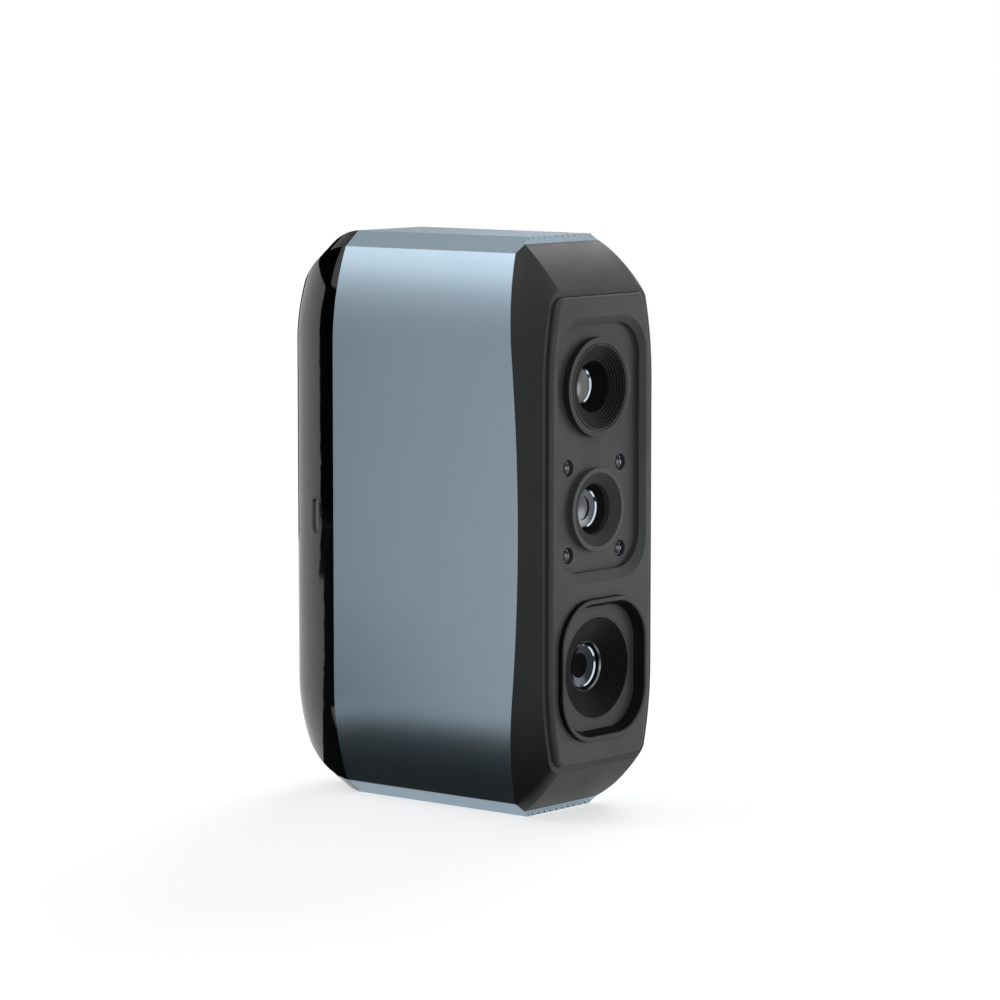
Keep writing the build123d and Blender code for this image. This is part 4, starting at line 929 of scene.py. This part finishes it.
# Studio ------------------------------------------------------------------------------------------


@dataclass(frozen=True)
class Sheet:
    """A flat rectangle in the studio: its centre, the point that it faces and its sides, in mm."""

    name: str
    place: Triple
    aim: Triple
    size: Pair
    spin: float = 0.0

    def turn(self) -> Matrix:
        """Turns the rectangle to its aim, spins it and sets it in its place.

        Returns:
            The matrix of its place, in metres.
        """
        direction = Vector(self.place) - Vector(self.aim)
        turn = direction.to_track_quat("Z", "Y").to_matrix().to_4x4()
        turn = turn @ Matrix.Rotation(math.radians(self.spin), 4, "Z")
        return Matrix.Translation(Vector(self.place) * MM) @ turn


@dataclass(frozen=True)
class SoftBox(Sheet):
    """A lamp with a flat face, as bright as its radiance, where 1 is white."""

    radiance: float = 1.0

    def build(self) -> None:
        """Places the lamp."""
        data = bpy.data.lights.new(self.name, "AREA")
        data.shape = "RECTANGLE"
        data.size, data.size_y = (side * MM for side in self.size)
        data.energy = self.radiance * math.pi * data.size * data.size_y
        lamp = bpy.data.objects.new(self.name, data)
        bpy.context.scene.collection.objects.link(lamp)
        lamp.matrix_world = self.turn()


@dataclass(frozen=True)
class Card(Sheet):
    """A black card that only reflections see, as light as its shine, where 1 is white."""

    shine: float = 0.0

    def build(self) -> None:
        """Stands the card in the surroundings."""
        deselect_all()
        bpy.ops.mesh.primitive_plane_add(size=1.0)
        card = bpy.context.object
        card.name = self.name
        scale = Matrix.Diagonal((self.size[0] * MM, self.size[1] * MM, 1.0, 1.0))
        card.data.transform(self.turn() @ scale)
        material, shader = new_material(self.name)
        set_inputs(shader, {
            "Base Color": CARD_BLACK,
            "Specular IOR Level": 0.0,
            "Emission Color": WHITE,
            "Emission Strength": self.shine,
        })
        dress(card, material)
        card.visible_camera = False
        card.visible_diffuse = False
        card.visible_shadow = False
        card.visible_transmission = False


def floor_card(
    name: str, place: Triple, size: Pair, spin: float = 0.0, shine: float = 0.03
) -> Card:
    """A card that lies just over the floor.

    Args:
        name: The card's name.
        place: Its centre, in mm.
        size: Its sides, in mm.
        spin: Its turn about the vertical, in degrees.
        shine: How light it is, where 1 is white.

    Returns:
        The card.
    """
    return Card(name, place, (place[0], place[1], 100), size, spin, shine)


SOFT_BOXES = (
    SoftBox("rear_soft_box", (-392, 365, 505), (0, 0, 80), (360, 300), radiance=1.75),
    SoftBox("far_soft_box", (600, 190, 540), (0, 0, 80), (420, 380), radiance=3.5),
    SoftBox("right_soft_box", (600, -480, 70), (0, 0, 60), (400, 300), radiance=2.6),
    SoftBox("near_soft_box", (-845, -693, 140), (0, 0, 60), (420, 360), radiance=1.8),
)
CARDS = (
    Card("band_card", (-275, 452, 105), (0, 0, 105), (290, 240)),
    Card("high_band_card", (-70, 524, 414), (0, 0, 414), (280, 424)),
    Card("sky_card", (170, 400, 560), (0, 0, 80), (190, 200), shine=0.6),
    Card("rear_sky_card", (150, 460, 330), (0, 0, 80), (260, 240), shine=0.3),
    Card("side_card", (-560, 58, 120), (0, 0, 120), (400, 330)),
    Card("back_card", (340, 290, 105), (0, 0, 105), (420, 250)),
    floor_card("floor_card", (-39, -47, 0.6), (50, 206)),
    floor_card("band_floor_card", (-149, 254, 0.7), (96, 390), spin=-21.0),
    floor_card("near_floor_card", (-32, 69, 0.65), (17, 86), spin=-28.4, shine=0.02),
    floor_card("far_floor_card", (-235, 384, 0.8), (250, 140), spin=-31.5),
)


@dataclass
class Studio:
    """Camera, floor, lamps and cards. The camera is placed in mm and degrees."""

    azimuth: float = -50.66
    elevation: float = 6.33
    distance: float = 900.19
    target_height: float = 60.0
    shift_right: float = 5.14
    shift_up: float = 3.52
    focal_pixels: float = 4272.4
    sensor: float = 36.0
    ambient: float = 0.34
    floor_radius: float = 4000.0
    floor_sides: int = 96
    floor_grey: float = 0.8
    floor_roughness: float = 0.9
    floor_lift: float = 0.6
    fade_start: float = 150.0
    fade_end: float = 420.0

    def camera(self) -> None:
        """Places the camera."""
        azimuth = math.radians(self.azimuth)
        elevation = math.radians(self.elevation)
        back = Vector((
            math.sin(azimuth) * math.cos(elevation),
            -math.cos(azimuth) * math.cos(elevation),
            math.sin(elevation),
        ))
        right = Vector((math.cos(azimuth), math.sin(azimuth), 0.0))
        up = back.cross(right)
        place = Vector((0, 0, self.target_height)) + right * self.shift_right
        place += up * self.shift_up + back * self.distance
        data = bpy.data.cameras.new("camera")
        data.sensor_width = self.sensor
        data.lens = self.focal_pixels / IMAGE_SIDE * self.sensor
        camera = bpy.data.objects.new("camera", data)
        bpy.context.scene.collection.objects.link(camera)
        turn = Matrix((right, up, back)).transposed().to_4x4()
        camera.matrix_world = Matrix.Translation(place * MM) @ turn
        bpy.context.scene.camera = camera

    def world(self) -> None:
        """Sets the surroundings: white where seen or mirrored, softer as light."""
        world = bpy.data.worlds.new("studio")
        world.use_nodes = True
        bpy.context.scene.world = world
        tree = world.node_tree
        backdrop = next(node for node in tree.nodes if node.type == "BACKGROUND")
        backdrop.inputs["Color"].default_value = WHITE
        seen = self.seen(tree)
        levels = {"A": self.ambient, "B": 1.0}
        level = new_node(tree, "ShaderNodeMix", levels, data_type="FLOAT")
        tree.links.new(seen, level.inputs["Factor"])
        tree.links.new(level.outputs["Result"], backdrop.inputs["Strength"])

    @staticmethod
    def seen(tree: Tree) -> Socket:
        """1 for rays from the camera, a mirror or through glass, and 0 for light.

        Args:
            tree: The node tree.

        Returns:
            The socket.
        """
        rays = new_node(tree, "ShaderNodeLightPath")
        total = rays.outputs["Is Camera Ray"]
        for label in ("Is Glossy Ray", "Is Transmission Ray"):
            more = new_node(tree, "ShaderNodeMath", operation="MAXIMUM")
            tree.links.new(total, more.inputs[0])
            tree.links.new(rays.outputs[label], more.inputs[1])
            total = more.outputs[0]
        return total

    def floor(self) -> None:
        """Lays the pale floor, which keeps the scanner's shadow and fades to white."""
        deselect_all()
        bpy.ops.mesh.primitive_circle_add(
            vertices=self.floor_sides, radius=self.floor_radius * MM, fill_type="NGON"
        )
        floor = bpy.context.object
        floor.name = "floor"
        material, shader = new_material("pale_floor")
        set_inputs(shader, {
            "Base Color": (self.floor_grey, self.floor_grey, self.floor_grey, 1.0),
            "Roughness": self.floor_roughness,
            "Specular IOR Level": 0.0,
            "Emission Color": WHITE,
        })
        tree = material.node_tree
        output = next(node for node in tree.nodes if node.type == "OUTPUT_MATERIAL")
        seen = self.seen(tree)
        lift = new_node(tree, "ShaderNodeMath", {1: self.floor_lift}, operation="MULTIPLY")
        place = new_node(tree, "ShaderNodeTexCoord")
        reach = new_node(tree, "ShaderNodeVectorMath", operation="LENGTH")
        ends = {"From Min": self.fade_start * MM, "From Max": self.fade_end * MM}
        fade = new_node(tree, "ShaderNodeMapRange", ends, interpolation_type="SMOOTHSTEP")
        white = new_node(tree, "ShaderNodeEmission")
        blend = new_node(tree, "ShaderNodeMixShader")
        for source, target in (
            (seen, lift.inputs[0]),
            (lift.outputs[0], shader.inputs["Emission Strength"]),
            (place.outputs["Object"], reach.inputs[0]),
            (reach.outputs["Value"], fade.inputs["Value"]),
            (seen, white.inputs["Strength"]),
            (fade.outputs["Result"], blend.inputs["Fac"]),
            (shader.outputs[0], blend.inputs[1]),
            (white.outputs[0], blend.inputs[2]),
            (blend.outputs[0], output.inputs["Surface"]),
        ):
            tree.links.new(source, target)
        dress(floor, material)

    def build(self) -> None:
        """Builds the whole studio."""
        bpy.context.scene.view_settings.view_transform = "Standard"
        self.camera()
        self.world()
        self.floor()
        for sheet in (*SOFT_BOXES, *CARDS):
            sheet.build()


# The scanner -------------------------------------------------------------------------------------


@dataclass
class Dressing:
    """Gives every CAD node its finish, by the record's slots."""

    effects: Effects

    def build(self) -> None:
        """Dresses all CAD nodes."""
        by_slot = {finish.slot: finish for finish in SLOT_FINISHES}
        by_node = {node: turning.finish(node) for node, turning in LENS_TURNINGS.items()}
        by_node["projector_hood"] = HOOD_BLACK
        for entry in frame["record"]["subparts"]:
            node, slot = entry["node"], entry["material_slot"]
            finish = by_node.get(node) or by_slot[slot]
            dress(frame["nodes"][node], finish.made(self.effects))
            LOG.info("dressed %s in %s", node, finish.name)


@dataclass
class LensFaces:
    """The coated faces of the three lenses, their bright edges and the projector's iris, in mm."""

    effects: Effects
    rim_ahead: float = 1.4
    back_depth: float = 1.3
    hollow: float = 0.75
    face_rings: int = 10
    step: float = 0.25
    step_share: float = 0.62
    step_rings: int = 8
    edge_width: float = 0.3
    edge_gap: float = 0.02
    iris_radius: float = 2.6
    iris_ahead: float = 0.08
    iris_dish: float = 0.2
    iris_back: float = 0.3
    iris_rings: int = 4
    ring_lip: float = 0.03
    ring_wall: float = 0.3
    ring_sides: int = 96

    def measure(self, node: str) -> tuple[float, float]:
        """Measures a lens.

        Args:
            node: The lens's CAD node.

        Returns:
            The distance of its rim ahead of the origin, and its radius, in mm.
        """
        low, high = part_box(node)
        return -high.y / MM + self.rim_ahead, (high.x - low.x) / 2 / MM

    def face(self, name: str, coating: Finish, step_share: float) -> None:
        """Makes one lens: a hollow coated face, and the polished edge round it.

        Args:
            name: The lens's name.
            coating: Its finish.
            step_share: Radius of the step in it, as a share of the lens's, or 0 for none.
        """
        node = f"{name}_lens_glass"
        height = axis_height(node)
        rim, radius = self.measure(node)
        step = step_share * radius
        profile = []
        if step:
            profile = bowl(rim - self.hollow, ON_AXIS, step, self.step, self.step_rings)
        depth = self.hollow - step_share * self.step
        profile += bowl(rim, step or ON_AXIS, radius, depth, self.face_rings)
        back = rim - self.back_depth
        profile += [(back, radius), (back, ON_AXIS)]
        piece = turned(f"{name}_coated_face", height, profile)
        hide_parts(node)
        mount(piece, coating, self.effects)
        front = rim + self.edge_gap
        inner, outer = radius - self.edge_width, radius - self.edge_gap
        ring = [
            (front, inner), (front, outer), (rim + self.edge_width, outer),
            (front + self.edge_gap, inner), (front, inner),
        ]
        mount(turned(f"{name}_lens_edge", height, ring), LENS_EDGE, self.effects)

    def iris(self) -> None:
        """Makes the projector's black iris, a thin dished disc over the middle of its lens."""
        node = "projector_lens_glass"
        rim, _radius = self.measure(node)
        front = rim - self.hollow + self.iris_ahead
        profile = bowl(
            front + self.iris_dish, ON_AXIS, self.iris_radius, self.iris_dish, self.iris_rings
        )
        back = front - self.iris_back
        profile += [(back, self.iris_radius), (back, ON_AXIS)]
        mount(turned("projector_iris", axis_height(node), profile), IRIS_AND_SHADE_BLACK, self.effects)

    def projector_ring(self) -> None:
        """Makes the bright ring in the baffle's throat, whose face leans in to the lens."""
        low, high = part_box("projector_lens_rim")
        radius = (high.x - low.x) / 2 / MM
        front, back = -low.y / MM, -high.y / MM
        lip, wall = radius - self.ring_lip, radius - self.ring_wall
        profile = [
            (front, lip), (front, radius), (back, radius), (back, wall),
            (front - self.ring_wall, wall), (front, lip),
        ]
        height = axis_height("projector_lens_rim")
        piece = turned("projector_bright_ring", height, profile, sides=self.ring_sides)
        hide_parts("projector_lens_rim")
        mount(piece, RIM_STEEL, self.effects)

    def build(self) -> None:
        """Makes all lens faces."""
        self.face("upper", UPPER_COATING, 0.0)
        self.face("lower", LOWER_COATING, self.step_share)
        self.face("projector", PROJECTOR_COATING, 0.0)
        self.iris()
        self.projector_ring()


@dataclass(frozen=True)
class DiodePart:
    """A turned piece in a diode: points ahead of the diode's top, and their radii, in mm."""

    name: str
    finish: Finish
    sides: int
    points: tuple[Pair, ...]


DIODE_CUP = DiodePart(
    "cup", BARREL_BLACK, 32,
    ((-1.5, 0.45), (-1.6, 0.45), (-1.6, 1.06), (-0.9, 1.06), (-0.9, 1.0), (-1.5, 0.45)),
)
# A bright bluish rim at the dome's base: a painted highlight that stands in for the crescent of
# refracted light.
DIODE_HIGHLIGHT_RIM = DiodePart(
    "rim", LENS_EDGE, 32,
    ((-0.65, 1.22), (-0.25, 1.42), (-0.25, 1.5), (-0.75, 1.5), (-0.65, 1.22)),
)
DIODE_DIE = DiodePart(
    "chip", DIODE_CHIP, 24,
    ((0.03, ON_AXIS), (0.03, 0.3), (-0.06, 0.46), (-0.14, 0.46), (-0.14, ON_AXIS)),
)


@dataclass
class DiodeInsides:
    """The cup, a bright rim standing in for the dome's crescent of light, and the chip in each of
    the four lighting diodes.
    """

    effects: Effects
    flange: float = 1.8

    def build(self) -> None:
        """Turns each piece in the first diode and copies it to the other three."""
        low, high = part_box("lighting_diodes")
        middle = axis_height("lighting_diodes")
        across = (high.x - low.x) / 2 - self.flange * MM
        up = (high.z - low.z) / 2 - self.flange * MM
        top = -low.y / MM
        models = {}
        places = [(x, z) for x in (-across, across) for z in (-up, up)]
        for index, (x, z) in enumerate(places):
            for part in (DIODE_CUP, DIODE_HIGHLIGHT_RIM, DIODE_DIE):
                name = f"diode_{part.name}_{index}"
                if part in models:
                    piece = self.copy_of(models[part], name, (x + across, 0.0, z + up))
                else:
                    profile = [(top + ahead, radius) for ahead, radius in part.points]
                    piece = turned(name, middle + z, profile, part.sides, x)
                    models[part] = piece
                mount(piece, part.finish, self.effects)

    @staticmethod
    def copy_of(model: Piece, name: str, step: Triple) -> Piece:
        """Copies a piece with its own mesh.

        Args:
            model: The piece.
            name: The copy's name.
            step: How far the copy is from the piece, in metres.

        Returns:
            The copy.
        """
        mesh = model.data.copy()
        mesh.name = name
        mesh.transform(Matrix.Translation(step))
        piece = bpy.data.objects.new(name, mesh)
        bpy.context.collection.objects.link(piece)
        return piece


@dataclass
class CaseEdges:
    """The sleeve and its end plates with their edges broken, and the vent holes' walls: painted
    light on top, painted shade below.
    """

    effects: Effects
    sleeve: Softening = Softening(width=0.14, angle=25.0)
    vent: Softening = Softening(width=0.17, angle=40.0)
    level: float = 0.97
    small: float = 0.6

    def build(self) -> None:
        """Makes the pieces that stand in for the CAD nodes."""
        mount(self.sleeve.copy_of("sleeve", "sleeve_broken_edges"), ANODISED, self.effects)
        # Painted light and shade: the top plate's hole walls take a pale colour, the bottom
        # plate's a black one.
        for end, hole_wall_paint in (("top", TOP_HOLE_PAINTED_LIGHT), ("bottom", IRIS_AND_SHADE_BLACK)):
            plate = self.vent.copy_of(f"{end}_vent_plate", f"{end}_vent_plate_cut")
            mount(plate, ANODISED, self.effects)
            plate.data.materials.append(hole_wall_paint.made(self.effects))
            for polygon in plate.data.polygons:
                in_hole = polygon.area < self.small * MM * MM
                polygon.material_index = int(in_hole and abs(polygon.normal.z) < self.level)


@dataclass
class TripodThread:
    """The thread in the tripod socket: 1/4 inch, 20 turns to the inch, in mm."""

    effects: Effects
    radius: float = 3.05
    pitch: float = 1.27
    turns: int = 5
    height: float = 0.28
    start: float = 0.4
    steps: int = 40
    sides: int = 3

    def build(self) -> None:
        """Winds a small triangle round the socket's axis."""
        place = (self.radius * MM, 0.0, self.start * MM)
        piece = add_circle("tripod_thread", self.sides, self.height * MM, place, False)
        screw = piece.modifiers.new("thread", "SCREW")
        screw.axis = "Z"
        screw.screw_offset = self.pitch * MM
        screw.iterations = self.turns
        screw.steps = screw.render_steps = self.steps
        bpy.ops.object.modifier_apply(modifier=screw.name)
        bpy.ops.object.mode_set(mode="EDIT")
        close_mesh(self.sides)
        mount(piece, INSERT_STEEL, self.effects)


def main() -> None:
    """Builds the studio and the scanner's looks, piece by piece."""
    logging.basicConfig(level=logging.INFO, format="%(message)s")
    Studio().build()
    effects = Effects.build()
    for part in (Dressing, LensFaces, DiodeInsides, CaseEdges, TripodThread):
        part(effects).build()


if __name__ == "__main__":
    main()
